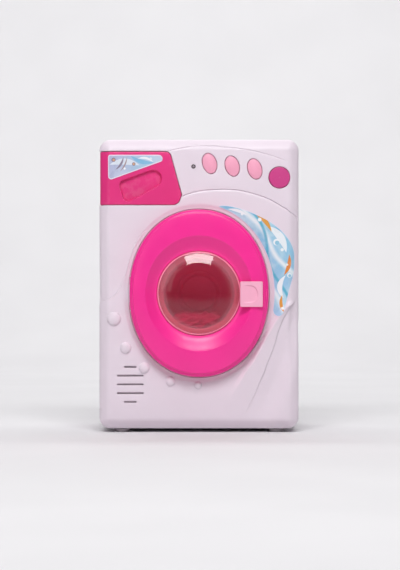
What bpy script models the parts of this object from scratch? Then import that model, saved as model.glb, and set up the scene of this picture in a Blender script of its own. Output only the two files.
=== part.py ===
# Toy washing machine: an assembly of separate pieces, in metres, +Z up.
# The front of the machine faces -Y. The origin is on the floor under the
# middle of the bounding box. Sizes below are given in millimetres and are
# multiplied by MM when a mesh is made.
import math

import bmesh
import bpy
from mathutils import Matrix, Vector

MM = 0.001

# ---------------------------------------------------------------- sizes (mm)
BODY_HALF_W = 80.0        # cabinet half width
BODY_Z0 = 3.0             # underside of the cabinet, above the feet
BODY_Z1 = 235.0           # top of the cabinet
FRONT_Y = -46.0           # front face of the cabinet
PART_Y = -20.0            # parting line between the two cabinet halves
BACK_Y = 59.0             # back face of the cabinet
WALL = 2.2                # moulded wall
CORNER_R = 9.0            # corner radius seen from the front
FRONT_FILLET = 7.0        # rounding between face and sides
BACK_FILLET = 4.0
GAP = 0.3                 # running and assembly clearance

DOOR_Z = 111.6            # height of the door and drum axis
DOOR_A, DOOR_B = 56.1, 67.2   # semi-axes of the oval door
RECESS_A, RECESS_B = 59.2, 70.3
RECESS_Y = -45.0          # floor of the shallow recess round the door
PORT_R = 40.0             # round port in the front face
HINGE_X, HINGE_Y = -53.0, -49.2

LATCH_X0, LATCH_X1 = 32.7, 50.6
LATCH_Z0, LATCH_Z1 = 100.8, 121.0
LATCH_FRONT = -59.0
TONGUE_X0, TONGUE_X1 = 44.0, 46.4

DRAWER_TOP, DRAWER_BOTTOM = 225.0, 182.4
BUTTONS = ((8.5, 215.4), (26.6, 213.3), (44.6, 211.0))
BUTTON_A, BUTTON_B = 8.8, 5.7     # half length and half width of an oval button
BUTTON_TILT = math.radians(17.0)  # the top leans to the left
START = (64.4, 204.4)
START_R = 8.8
LED_POS = (-4.4, 213.0)

SLITS = ((-60.0, -50.0, 52.6), (-65.6, -44.4, 45.6), (-65.6, -44.4, 38.6),
         (-65.6, -44.4, 31.6), (-60.0, -50.0, 24.6))
SLIT_H = 1.5
SPEAKER = (-55.0, 38.6)
BUBBLES = ((-68.0, 91.1, 5.4, 2.6), (-58.7, 67.9, 4.5, 2.3), (-43.9, 51.8, 4.2, 2.2),
           (-22.8, 41.1, 3.9, 2.0), (-0.8, 38.1, 3.0, 1.7))

SCREW_POSTS = ((-69.0, 14.0), (69.0, 14.0), (-2.0, 227.2), (69.0, 226.0))

GEAR_MODULE = 1.0
DRUM_TEETH, IDLER_SMALL, IDLER_BIG, PINION_TEETH = 48, 12, 36, 12
IDLER_ANGLE = math.radians(60.0)
DRUM_AXIS = (0.0, DOOR_Z)
IDLER_AXIS = (30.0 * math.cos(IDLER_ANGLE), DOOR_Z + 30.0 * math.sin(IDLER_ANGLE))
MOTOR_AXIS = (IDLER_AXIS[0] + 24.0, IDLER_AXIS[1])
GEARBOX_CORNERS = ((-24.0, 89.0), (50.0, 89.0), (-24.0, 155.0), (50.0, 155.0))
GEARBOX_SCREWS = ((-24.0, 89.0), (50.0, 89.0), (-24.0, 155.0))

# ------------------------------------------------------------- scene set-up
for old in list(bpy.data.objects):
    bpy.data.objects.remove(old, do_unlink=True)

PARTS = bpy.data.collections.new("toy_washing_machine")
CUTTERS = bpy.data.collections.new("cutters")
bpy.context.scene.collection.children.link(PARTS)
bpy.context.scene.collection.children.link(CUTTERS)


def srgb(code):
    """Hex colour to linear RGBA."""
    out = []
    for i in (0, 2, 4):
        c = int(code[i:i + 2], 16) / 255.0
        out.append(c / 12.92 if c <= 0.04045 else ((c + 0.055) / 1.055) ** 2.4)
    return (*out, 1.0)


def material(name, code, rough=0.35, metal=0.0, alpha=1.0, transmission=0.0):
    mat = bpy.data.materials.new(name)
    mat.use_nodes = True
    shader = mat.node_tree.nodes["Principled BSDF"]
    shader.inputs["Base Color"].default_value = srgb(code)
    shader.inputs["Roughness"].default_value = rough
    shader.inputs["Metallic"].default_value = metal
    shader.inputs["Alpha"].default_value = alpha
    shader.inputs["Transmission Weight"].default_value = transmission
    mat.diffuse_color = srgb(code)
    return mat


M_BODY = material("body_plastic", "e9dee8", 0.38)
M_DOOR = material("door_plastic", "f4359a", 0.28)
M_DRAWER = material("drawer_plastic", "dc3a88", 0.33)
M_PALE = material("pale_pink_plastic", "f8b6cd", 0.35)
M_KNOB = material("start_plastic", "c94587", 0.35)
M_WINDOW = material("window_plastic", "c8405f", 0.06, alpha=0.45, transmission=0.9)
M_DRUM = material("drum_plastic", "f0507f", 0.4)
M_WHITE = material("white_plastic", "ece8ea", 0.45)
M_STEEL = material("steel", "b9bcc0", 0.28, metal=1.0)
M_RUBBER = material("grey_rubber", "9a8f96", 0.8)
M_PCB = material("circuit_board", "2e7a4a", 0.5)
M_LED = material("led_lens", "d9cdd6", 0.15)
M_BLACK = material("black_plastic", "2b2b2e", 0.5)
M_CELL = material("cell_wrap", "4f7fae", 0.35)
M_STICKER = material("sticker", "9fc6e2", 0.3)
M_CLOTH = material("cloth", "d4447f", 0.9)
M_WIRE = material("wire", "b02a2a", 0.5)


# ------------------------------------------------------------------ helpers
def finish_mesh(bm, name, mat=None, helper=False, smooth=True):
    """Puts a bmesh given in millimetres into the scene as an object."""
    bmesh.ops.scale(bm, vec=(MM, MM, MM), verts=bm.verts)
    bmesh.ops.recalc_face_normals(bm, faces=bm.faces)
    mesh = bpy.data.meshes.new(name)
    bm.to_mesh(mesh)
    bm.free()
    obj = bpy.data.objects.new(name, mesh)
    if mat is not None:
        mesh.materials.append(mat)
    if smooth:
        mesh.shade_smooth()
        mesh.set_sharp_from_angle(angle=math.radians(35))
    if helper:
        CUTTERS.objects.link(obj)
        obj.hide_render = True
        obj.display_type = "WIRE"
    else:
        PARTS.objects.link(obj)
    return obj


def new_box(x0, x1, y0, y1, z0, z1):
    bm = bmesh.new()
    bmesh.ops.create_cube(bm, size=1.0)
    bmesh.ops.scale(bm, vec=(x1 - x0, y1 - y0, z1 - z0), verts=bm.verts)
    bmesh.ops.translate(bm, vec=((x0 + x1) / 2, (y0 + y1) / 2, (z0 + z1) / 2), verts=bm.verts)
    return bm


def box(name, x0, x1, y0, y1, z0, z1, mat=None, helper=False, bevel=0.0, segments=2):
    bm = new_box(x0, x1, y0, y1, z0, z1)
    if bevel:
        bmesh.ops.bevel(bm, geom=list(bm.edges), offset=bevel, segments=segments,
                        affect="EDGES", profile=0.5, clamp_overlap=True)
    return finish_mesh(bm, name, mat, helper)


def cyl(name, cx, cz, r, y0, y1, mat=None, helper=False, segments=24, r2=None, sx=1.0, sz=1.0):
    """A cylinder or cone along Y, from y0 to y1."""
    bm = bmesh.new()
    bmesh.ops.create_cone(bm, cap_ends=True, segments=segments, radius1=r,
                          radius2=r if r2 is None else r2, depth=abs(y1 - y0))
    bmesh.ops.rotate(bm, cent=(0, 0, 0), matrix=Matrix.Rotation(-math.pi / 2, 3, "X"), verts=bm.verts)
    bmesh.ops.scale(bm, vec=(sx, 1, sz), verts=bm.verts)
    bmesh.ops.translate(bm, vec=(cx, (y0 + y1) / 2, cz), verts=bm.verts)
    return finish_mesh(bm, name, mat, helper)


def cyl_z(name, cx, cy, r, z0, z1, mat=None, helper=False, segments=24):
    bm = bmesh.new()
    bmesh.ops.create_cone(bm, cap_ends=True, segments=segments, radius1=r, radius2=r, depth=z1 - z0)
    bmesh.ops.translate(bm, vec=(cx, cy, (z0 + z1) / 2), verts=bm.verts)
    return finish_mesh(bm, name, mat, helper)


def plate(name, points, y0, y1, mat=None, helper=False):
    """A flat outline in X and Z, filled and extruded along Y: a 2D curve made a mesh."""
    curve = bpy.data.curves.new(name + "_outline", "CURVE")
    curve.dimensions = "2D"
    curve.fill_mode = "BOTH"
    curve.extrude = abs(y1 - y0) / 2 * MM
    spline = curve.splines.new("POLY")
    spline.points.add(len(points) - 1)
    for point, (x, z) in zip(spline.points, points):
        point.co = (x * MM, z * MM, 0, 1)
    spline.use_cyclic_u = True
    guide = bpy.data.objects.new(name + "_guide", curve)
    CUTTERS.objects.link(guide)
    guide.rotation_euler = (math.pi / 2, 0, 0)
    guide.location = (0, (y0 + y1) / 2 * MM, 0)
    bpy.context.view_layer.update()
    graph = bpy.context.evaluated_depsgraph_get()
    mesh = bpy.data.meshes.new_from_object(guide.evaluated_get(graph))
    matrix = guide.matrix_world.copy()
    bpy.data.objects.remove(guide, do_unlink=True)
    bm = bmesh.new()
    bm.from_mesh(mesh)
    bpy.data.meshes.remove(mesh)
    bmesh.ops.transform(bm, matrix=matrix, verts=bm.verts)
    bmesh.ops.scale(bm, vec=(1 / MM,) * 3, verts=bm.verts)
    bmesh.ops.remove_doubles(bm, verts=bm.verts, dist=0.002)
    return finish_mesh(bm, name, mat, helper)


def turned(name, profile, cx, cz, mat=None, helper=False, steps=32, closed=False):
    """A turned shape about an axis along Y: profile is (radius, y), swept by a Screw modifier."""
    mesh = bpy.data.meshes.new(name + "_profile")
    verts = [(r * MM, 0, -y * MM) for r, y in profile]
    edges = [(i, i + 1) for i in range(len(verts) - 1)]
    if closed:
        edges.append((len(verts) - 1, 0))
    mesh.from_pydata(verts, edges, [])
    guide = bpy.data.objects.new(name + "_guide", mesh)
    CUTTERS.objects.link(guide)
    screw = guide.modifiers.new("turn", "SCREW")
    screw.axis = "Z"
    screw.angle = math.tau
    screw.steps = screw.render_steps = steps
    screw.use_merge_vertices = True
    screw.merge_threshold = 0.00001
    guide.rotation_euler = (math.pi / 2, 0, 0)
    guide.location = (cx * MM, 0, cz * MM)
    bpy.context.view_layer.update()
    graph = bpy.context.evaluated_depsgraph_get()
    out = bpy.data.meshes.new_from_object(guide.evaluated_get(graph))
    matrix = guide.matrix_world.copy()
    bpy.data.objects.remove(guide, do_unlink=True)
    bm = bmesh.new()
    bm.from_mesh(out)
    bpy.data.meshes.remove(out)
    bmesh.ops.transform(bm, matrix=matrix, verts=bm.verts)
    bmesh.ops.scale(bm, vec=(1 / MM,) * 3, verts=bm.verts)
    bmesh.ops.remove_doubles(bm, verts=bm.verts, dist=0.002)
    return finish_mesh(bm, name, mat, helper)


def loft(name, stations, mat=None, segments=48, helper=False, cx=0.0, cz=DOOR_Z):
    """A ring lofted through ellipses of unlike shape: stations are (a, b, y), closed into a loop."""
    bm = bmesh.new()
    rings = []
    for a, b, y in stations:
        ring = []
        for i in range(segments):
            t = math.tau * i / segments
            ring.append(bm.verts.new((cx + a * math.cos(t), y, cz + b * math.sin(t))))
        rings.append(ring)
    for k, ring in enumerate(rings):
        nxt = rings[(k + 1) % len(rings)]
        for i in range(segments):
            j = (i + 1) % segments
            bm.faces.new((ring[i], ring[j], nxt[j], nxt[i]))
    return finish_mesh(bm, name, mat, helper)


def tube(name, points, radius, mat, resolution=2):
    """A wire on a smooth route: a POLY curve with a round bevel and filled caps."""
    curve = bpy.data.curves.new(name, "CURVE")
    curve.dimensions = "3D"
    curve.bevel_depth = radius * MM
    curve.bevel_resolution = resolution
    curve.use_fill_caps = True
    spline = curve.splines.new("POLY")
    spline.points.add(len(points) - 1)
    for point, co in zip(spline.points, points):
        point.co = (co[0] * MM, co[1] * MM, co[2] * MM, 1)
    curve.materials.append(mat)
    obj = bpy.data.objects.new(name, curve)
    PARTS.objects.link(obj)
    return obj


def smooth_route(points, per_span=6):
    """Points read from a Catmull-Rom curve through the given ones."""
    pts = [Vector(p) for p in points]
    pts = [pts[0] * 2 - pts[1]] + pts + [pts[-1] * 2 - pts[-2]]
    out = []
    for i in range(1, len(pts) - 2):
        for k in range(per_span):
            t = k / per_span
            a, b, c, d = pts[i - 1], pts[i], pts[i + 1], pts[i + 2]
            out.append(0.5 * ((2 * b) + (c - a) * t + (2 * a - 5 * b + 4 * c - d) * t * t
                              + (3 * b - a - 3 * c + d) * t ** 3))
    out.append(pts[-2])
    return out


def boolean(obj, other, operation="DIFFERENCE"):
    mod = obj.modifiers.new(operation.lower() + "_" + other.name, "BOOLEAN")
    mod.operation = operation
    mod.solver = "EXACT"
    mod.object = other


def cut(obj, *cutters):
    for c in cutters:
        boolean(obj, c)


def join(obj, *adders):
    for a in adders:
        boolean(obj, a, "UNION")


def ellipse(cx, cz, a, b, tilt=0.0, n=28, grow=0.0):
    """Outline of an oval; a is the half height, b the half width, tilt leans the top left."""
    pts = []
    for i in range(n):
        t = math.tau * i / n
        u, v = (b + grow) * math.cos(t), (a + grow) * math.sin(t)
        pts.append((cx + u * math.cos(tilt) - v * math.sin(tilt),
                    cz + u * math.sin(tilt) + v * math.cos(tilt)))
    return pts


def rounded(points, radii, steps=4):
    """Rounds each corner of a closed outline by its own radius."""
    out = []
    n = len(points)
    for i in range(n):
        p0, p1, p2 = Vector(points[i - 1]), Vector(points[i]), Vector(points[(i + 1) % n])
        r = radii[i] if isinstance(radii, (list, tuple)) else radii
        d0, d2 = (p0 - p1).normalized(), (p2 - p1).normalized()
        half = math.acos(max(-1, min(1, d0.dot(d2)))) / 2
        if r <= 0:
            out.append(tuple(p1))
            continue
        reach = r / math.tan(half)
        a, b = p1 + d0 * reach, p1 + d2 * reach
        centre = p1 + (d0 + d2).normalized() * (r / math.sin(half))
        va, vb = a - centre, b - centre
        total = va.angle(vb)
        sign = 1 if va.x * vb.y - va.y * vb.x > 0 else -1
        for k in range(steps + 1):
            ang = sign * total * k / steps
            out.append((centre.x + va.x * math.cos(ang) - va.y * math.sin(ang),
                        centre.y + va.x * math.sin(ang) + va.y * math.cos(ang)))
    return out


def gear_outline(cx, cz, teeth, phase, add=0.7, ded=1.1, share=0.42):
    """Involute teeth with backlash; phase is the angle of one tooth's middle."""
    m = GEAR_MODULE
    pressure = math.radians(20)
    rp, rb = m * teeth / 2, m * teeth / 2 * math.cos(pressure)
    ra, rf = rp + add * m, rp - ded * m
    inv = math.tan(pressure) - pressure

    def half(r):
        at = math.acos(min(1.0, rb / max(r, rb)))
        return share * math.pi / teeth + inv - (math.tan(at) - at)

    pts = []
    for k in range(teeth):
        mid = phase + math.tau * k / teeth
        for r, s in ((rf, -1), (ra, -1), (ra, 1), (rf, 1)):
            ang = mid + s * half(r)
            pts.append((cx + r * math.cos(ang), cz + r * math.sin(ang)))
    return pts


def screw(name, cx, cz, head_y, tip_y, head_r, head_h, shank_r, body_side, mat=M_STEEL):
    """A pan-head screw along Y. body_side is -1 if the shank points to -Y, 1 if to +Y."""
    s = body_side
    if abs(head_r - shank_r) < 0.2:
        head_r = shank_r + 0.2
    profile = [(0.0, head_y - s * head_h), (head_r * 0.7, head_y - s * head_h),
               (head_r, head_y - s * head_h * 0.5), (head_r, head_y), (shank_r, head_y),
               (shank_r, tip_y - s * shank_r), (0.0, tip_y)]
    obj = turned(name, profile, cx, cz, mat, steps=8)
    slot = box(name + "_slot", cx - head_r * 0.62, cx + head_r * 0.62,
               *sorted((head_y - s * (head_h + 1), head_y - s * head_h * 0.45)),
               cz - 0.35, cz + 0.35, helper=True)
    cut(obj, slot)
    return obj


# ------------------------------------------------------------ cabinet shells
def open_shell(name, y_face, y_open, fillet, mat, wall=WALL, inset=0.0, helper=False):
    """A rounded box open at y_open, thickened inwards. inset shrinks it all round."""
    bm = new_box(-BODY_HALF_W + inset, BODY_HALF_W - inset,
                 *sorted((y_face, y_open)), BODY_Z0 + inset, BODY_Z1 - inset)
    bm.faces.ensure_lookup_table()
    gone = [f for f in bm.faces if all(abs(v.co.y - y_open) < 0.01 for v in f.verts)]
    bmesh.ops.delete(bm, geom=gone, context="FACES")
    along = [e for e in bm.edges if abs(e.verts[0].co.y - e.verts[1].co.y) > 1]
    bmesh.ops.bevel(bm, geom=along, offset=CORNER_R - inset, segments=5, affect="EDGES", profile=0.5)
    rim = [e for e in bm.edges
           if all(abs(v.co.y - y_face) < 0.01 for v in e.verts) and len(e.link_faces) == 2]
    bmesh.ops.bevel(bm, geom=rim, offset=fillet, segments=4, affect="EDGES", profile=0.5)
    obj = finish_mesh(bm, name, mat, helper)
    solid = obj.modifiers.new("wall", "SOLIDIFY")
    solid.thickness = wall * MM
    solid.offset = -1.0
    solid.use_even_offset = True
    solid.use_rim = True
    return obj


front_shell = open_shell("front_shell", FRONT_Y, PART_Y, FRONT_FILLET, M_BODY)

# Outline of the detergent drawer's front, seen from the front.
DRAWER_OUTLINE = [(-96.0, DRAWER_BOTTOM), (-15.8, DRAWER_BOTTOM), (-13.6, 191.0),
                  (-22.6, DRAWER_TOP), (-96.0, DRAWER_TOP)]
DRAWER_RADII = [0, 6.5, 3.0, 5.5, 0]


def drawer_outline(grow):
    pts = [(-96.0, DRAWER_BOTTOM - grow), (-16.6 + grow, DRAWER_BOTTOM - grow),
           (-13.9 + grow, 190.5), (-23.4 + grow, DRAWER_TOP + grow), (-96.0, DRAWER_TOP + grow)]
    return rounded(pts, [0, 6.0, 3.0, 5.0, 0])


# Posts and ribs inside the front half, joined before the cuts.
for i, (x, z) in enumerate(SCREW_POSTS):
    join(front_shell, cyl(f"front_post_{i}", x, z, 3.6, -44.6, PART_Y, helper=True, segments=10))
join(front_shell, turned("tub_rib", [(43.0, -44.6), (43.0, -37.0), (44.8, -37.0), (44.8, -44.6)],
                         *DRUM_AXIS, helper=True, steps=28, closed=True))
# The hinge lug stands out of the recess, behind the door's left edge.
lug = cyl_z("hinge_lug", HINGE_X, HINGE_Y, 2.5, DOOR_Z - 6, DOOR_Z + 6, helper=True, segments=16)
lug_stem = box("hinge_stem", HINGE_X - 1.2, HINGE_X + 2.5, HINGE_Y, -44.2, DOOR_Z - 6, DOOR_Z + 6, helper=True)
door_recess = cyl("door_recess_cut", 0, DOOR_Z, 1.0, -52, RECESS_Y, helper=True, segments=44,
                  sx=RECESS_A, sz=RECESS_B)
cut(front_shell, door_recess)
join(front_shell, lug, lug_stem)
cut(front_shell, cyl_z("hinge_lug_bore", HINGE_X, HINGE_Y, 1.5, DOOR_Z - 8, DOOR_Z + 8, helper=True, segments=12))
cut(front_shell, cyl("port_cut", 0, DOOR_Z, PORT_R, -50, -40, helper=True, segments=40))
cut(front_shell, box("catch_cut", 42.6, 49.9, -50, -36, 103.3, 118.5, helper=True))
cut(front_shell, plate("drawer_port_cut", drawer_outline(0.45), -50, -40.2, helper=True))
cut(front_shell, box("drawer_side_cut", -90, -70, -50, -29.6, DRAWER_BOTTOM - 0.45, DRAWER_TOP + 0.45, helper=True))
for i, (x, z) in enumerate(BUTTONS):
    cut(front_shell, plate(f"button_hole_{i}", ellipse(x, z, BUTTON_A, BUTTON_B, BUTTON_TILT, grow=0.5, n=18),
                           -50, -40, helper=True))
cut(front_shell, cyl("start_hole", *START, START_R + 0.5, -50, -40, helper=True, segments=20))
cut(front_shell, cyl("led_hole", *LED_POS, 1.9, -50, -40, helper=True, segments=12))
for i, (x0, x1, z) in enumerate(SLITS):
    cut(front_shell, box(f"slit_{i}", x0, x1, -50, -40, z - SLIT_H / 2, z + SLIT_H / 2, helper=True))
for i, (x, z) in enumerate(SCREW_POSTS):
    cut(front_shell, cyl(f"front_post_bore_{i}", x, z, 1.6, -40, PART_Y + 1, helper=True, segments=8))


def dome(name, x, z, r, h, base_y):
    """A moulded half-round bubble that stands out of the front face."""
    bm = bmesh.new()
    bmesh.ops.create_uvsphere(bm, u_segments=12, v_segments=6, radius=1.0)
    bmesh.ops.rotate(bm, cent=(0, 0, 0), matrix=Matrix.Rotation(math.pi / 2, 3, "X"), verts=bm.verts)
    cutted = bmesh.ops.bisect_plane(bm, geom=bm.verts[:] + bm.edges[:] + bm.faces[:], dist=1e-5,
                                    plane_co=(0, 0, 0), plane_no=(0, 1, 0), clear_outer=True)
    rim = [e for e in cutted["geom_cut"] if isinstance(e, bmesh.types.BMEdge)]
    bmesh.ops.edgeloop_fill(bm, edges=rim)
    bmesh.ops.scale(bm, vec=(r, h, r), verts=bm.verts)
    bmesh.ops.translate(bm, vec=(x, base_y, z), verts=bm.verts)
    return finish_mesh(bm, name, helper=True)


for i, (x, z, r, h) in enumerate(BUBBLES):
    join(front_shell, dome(f"bubble_{i}", x, z, r, h + 0.5, FRONT_Y + 0.5))

# The raised fin at the lower right, between its bright and its shaded edge.
FIN = [(77.0, 104.0), (71.2, 100.8), (63.8, 91.8), (58.1, 81.4), (51.8, 71.2), (45.4, 58.7),
       (39.1, 49.7), (34.7, 42.4), (27.0, 31.0), (45.6, 31.0), (49.0, 41.2), (52.4, 48.8), (55.0, 56.0),
       (57.4, 62.0), (59.7, 68.0), (61.3, 73.0), (66.0, 84.0), (70.5, 92.0)]
FIN = [(min(x, 72.4), z) for x, z in FIN]
join(front_shell, plate("fin", FIN[1:], FRONT_Y - 0.9, FRONT_Y + 0.6, helper=True))

rear_shell = open_shell("rear_shell", BACK_Y, PART_Y + GAP, BACK_FILLET, M_BODY)
for i, (x, z) in enumerate(SCREW_POSTS):
    join(rear_shell, cyl(f"rear_post_{i}", x, z, 4.7, PART_Y + GAP, BACK_Y - 1.0, helper=True, segments=12))
for i, (x, z) in enumerate(SCREW_POSTS):
    cut(rear_shell, cyl(f"screw_well_{i}", x, z, 3.3, -14.0, BACK_Y + 3, helper=True, segments=12),
        cyl(f"screw_way_{i}", x, z, 1.6, PART_Y - 2, -12, helper=True, segments=8))
for i, (x, z) in enumerate(GEARBOX_CORNERS):
    join(rear_shell, cyl(f"gearbox_pillar_{i}", x, z, 3.4, 34.4, BACK_Y - 1.0, helper=True, segments=8))
for i, (x, z) in enumerate(GEARBOX_CORNERS):
    cut(rear_shell, cyl(f"pillar_bore_{i}", x, z, 1.5, 30, 47, helper=True, segments=8))
cut(rear_shell, plate("battery_opening", rounded([(-33.4, 15.1), (33.4, 15.1), (33.4, 75.4), (-33.4, 75.4)], 3.0, 3),
                      50, 65, helper=True))
for i in range(6):
    z = 182.0 + i * 5.0
    cut(rear_shell, box(f"vent_{i}", -26.0, 26.0, 50, 65, z - 1.0, z + 1.0, helper=True))

# --------------------------------------------------------------------- feet
for name, x, y in (("foot_front_left", -62, -33), ("foot_front_right", 62, -33),
                   ("foot_rear_left", -62, 44), ("foot_rear_right", 62, 44)):
    bm = bmesh.new()
    bmesh.ops.create_cone(bm, cap_ends=True, segments=16, radius1=5.6, radius2=6.5, depth=2.7)
    bmesh.ops.translate(bm, vec=(x, y, 1.35), verts=bm.verts)
    finish_mesh(bm, name, M_RUBBER)

for i, (x, z) in enumerate(SCREW_POSTS):
    screw(f"housing_screw_{i + 1}", x, z, -13.6, -32.0, 2.8, 2.0, 1.25, -1)

# ------------------------------------------------------------- battery pack
battery_box = box("battery_box", -31.2, 31.2, 37.8, 56.0, 18.9, 69.9, M_WHITE)
join(battery_box, plate("battery_flange", rounded([(-37.5, 11.0), (37.5, 11.0), (37.5, 79.5), (-37.5, 79.5)], 3.0, 3),
                        54.6, 56.4, helper=True))
cut(battery_box, box("battery_space", -29.6, 29.6, 39.4, 60, 20.5, 68.3, helper=True),
    cyl("cover_screw_hole", 0, 72.6, 1.1, 50, 60, helper=True, segments=12))
battery_cover = plate("battery_cover", rounded([(-33.0, 15.5), (33.0, 15.5), (33.0, 75.0), (-33.0, 75.0)], 2.7, 3),
                      56.8, BACK_Y, M_BODY)
cut(battery_cover, cyl("cover_screw_seat", 0, 72.6, 1.9, 57.9, 62, helper=True, segments=14),
    cyl("cover_screw_way", 0, 72.6, 1.1, 50, 60, helper=True, segments=12))
for i in range(5):
    cut(battery_cover, box(f"cover_grip_{i}", -11, 11, 58.3, 62, 22.0 + i * 2.6, 23.3 + i * 2.6, helper=True))
screw("battery_cover_screw", 0, 72.6, 58.2, 52.0, 1.6, 0.7, 0.8, -1)
for i in range(3):
    z = 29.2 + i * 15.2
    bm = bmesh.new()
    bmesh.ops.create_cone(bm, cap_ends=True, segments=18, radius1=7.1, radius2=7.1, depth=49.0)
    bmesh.ops.rotate(bm, cent=(0, 0, 0), matrix=Matrix.Rotation(math.pi / 2, 3, "Y"), verts=bm.verts)
    bmesh.ops.translate(bm, vec=(0, 47.4, z), verts=bm.verts)
    cell = finish_mesh(bm, f"battery_cell_{i + 1}", M_CELL)
    tip = bmesh.new()
    bmesh.ops.create_cone(tip, cap_ends=True, segments=12, radius1=2.6, radius2=2.6, depth=2.4)
    bmesh.ops.rotate(tip, cent=(0, 0, 0), matrix=Matrix.Rotation(math.pi / 2, 3, "Y"), verts=tip.verts)
    side = 1 if i % 2 == 0 else -1
    bmesh.ops.translate(tip, vec=(side * 24.9, 47.4, z), verts=tip.verts)
    join(cell, finish_mesh(tip, f"cell_tip_{i}", helper=True))
box("battery_contact_left", -29.2, -28.7, 41.0, 54.0, 22.0, 66.6, M_STEEL)
box("battery_contact_right", 28.7, 29.2, 41.0, 54.0, 22.0, 66.6, M_STEEL)

# --------------------------------------------------------- detergent drawer
FACE_INSET = 0.6   # the drawer's face lies this much below the cabinet's
drawer = open_shell("detergent_drawer", FRONT_Y + FACE_INSET, PART_Y + 5, FRONT_FILLET - FACE_INSET, M_DRAWER,
                    wall=2.0, inset=FACE_INSET)
mask = plate("drawer_mask", drawer_outline(0.0), -52, -43.2, helper=True)
side_mask = box("drawer_side_mask", -90, -77.2, -52, -30.2, DRAWER_BOTTOM, DRAWER_TOP, helper=True)
fillet_mask = box("drawer_fillet_mask", -90, -70.0, -52, -38.2, DRAWER_BOTTOM, DRAWER_TOP, helper=True)
join(mask, side_mask, fillet_mask)
boolean(drawer, mask, "INTERSECT")
# Tray behind the face, open at the top.
tray = box("tray_block", -71.8, -29.6, -44.4, 8.0, 184.0, 213.8, helper=True)
cut(tray, box("tray_space", -70.2, -31.2, -43.0, 6.4, 185.6, 220.0, helper=True))
join(drawer, tray)
# Slanted scoop for the fingers: deep at the top, shallow at the bottom.
SCOOP = rounded([(-64.0, 200.4), (-29.9, 212.8), (-30.3, 199.5), (-59.0, 183.3)], [3.8, 6.6, 6.0, 4.5], 4)


def scoop(name, grow, front, deep, shallow):
    """A pocket with a sloping floor; grow moves its outline outwards."""
    cx = sum(p[0] for p in SCOOP) / len(SCOOP)
    cz = sum(p[1] for p in SCOOP) / len(SCOOP)
    up = Vector((-0.42, 0.91)).normalized()
    bm = bmesh.new()
    fr, bk = [], []
    for x, z in SCOOP:
        d = Vector((x - cx, z - cz))
        d = d * (1 + grow / d.length)
        t = max(0.0, min(1.0, 0.5 + d.dot(up) / 22.0))
        fr.append(bm.verts.new((cx + d.x, front, cz + d.y)))
        bk.append(bm.verts.new((cx + d.x, shallow + (deep - shallow) * (0.5 + d.dot(up) / 22.0), cz + d.y)))
    n = len(fr)
    for i in range(n):
        j = (i + 1) % n
        bm.faces.new((fr[i], fr[j], bk[j], bk[i]))
    bm.faces.new(fr)
    bm.faces.new(bk)
    return finish_mesh(bm, name, helper=True)


scoop_wall = scoop("scoop_wall", 1.5, -44.6, -35.0, -41.6)
join(drawer, scoop_wall)
cut(drawer, scoop("scoop_space", 0.0, -50.0, -36.6, -43.4))

sleeve = box("drawer_sleeve", -74.0, -26.4, -42.6, 10.4, 181.8, 216.2, M_WHITE)
join(sleeve, box("sleeve_flange", -72.6, -10.6, -42.9, -41.4, 179.6, 228.6, helper=True))
cut(sleeve, box("sleeve_way", -72.4, -28.0, -50, 8.8, 183.4, 214.6, helper=True))

sticker_pts = rounded([(-73.2, 222.2), (-28.4, 222.2), (-29.6, 217.6), (-72.6, 202.6)], [1.6, 2.4, 2.0, 2.0], 3)
plate("drawer_sticker", sticker_pts, FRONT_Y + FACE_INSET - GAP - 0.25, FRONT_Y + FACE_INSET - GAP, M_STICKER)

# ----------------------------------------------------------- front sticker
# A crescent beside the door's upper right, that bends with the rounded side of the face.
crescent = []
for k in range(15):
    t = math.radians(74 - k * 89 / 14)
    crescent.append(((RECESS_A + 1.2) * math.cos(t), DOOR_Z + (RECESS_B + 1.2) * math.sin(t)))
crescent += [(63.4, 93.6), (67.4, 97.6), (70.4, 105.0), (73.4, 119.4), (76.2, 126.0), (76.6, 137.0), (75.8, 147.0),
             (69.6, 158.0), (57.8, 168.4), (43.0, 176.0), (29.0, 180.2), (17.4, 181.4)]
STICKER_T = 0.25
front_sticker = open_shell("front_sticker", FRONT_Y - GAP - STICKER_T, PART_Y, FRONT_FILLET + GAP + STICKER_T,
                           M_STICKER, wall=STICKER_T, inset=-(GAP + STICKER_T))
boolean(front_sticker, plate("sticker_outline", rounded(crescent, 0.4, 1), -50, -40, helper=True), "INTERSECT")

# ----------------------------------------------------------------- controls
for i, (x, z) in enumerate(BUTTONS):
    button = plate(f"program_button_{i + 1}", ellipse(x, z, BUTTON_A, BUTTON_B, BUTTON_TILT, n=18),
                   -46.9, -43.0, M_PALE)
    join(button, plate(f"button_flange_{i}", ellipse(x, z, BUTTON_A, BUTTON_B, BUTTON_TILT, n=18, grow=1.4),
                       -43.4, -42.2, helper=True),
         cyl(f"button_stem_{i}", x, z, 2.4, -42.8, -37.7, helper=True, segments=8))
start = cyl("start_button", *START, START_R, -46.7, -43.0, M_KNOB, segments=20)
join(start, cyl("start_flange", *START, START_R + 1.0, -43.3, -42.2, helper=True, segments=20),
     cyl("start_stem", *START, 2.4, -42.8, -37.7, helper=True, segments=8))

pcb = box("control_pcb", -9.0, 73.0, -33.6, -32.0, 196.5, 221.0, M_PCB)
keypad = box("keypad_mat", 0.0, 72.4, -34.9, -33.9, 197.5, 220.0, M_RUBBER)
for i, (x, z) in enumerate((*BUTTONS, START)):
    join(keypad, cyl(f"key_dome_{i}", x, z, 2.9, -36.2, -34.4, helper=True, segments=10, r2=4.0))

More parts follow.
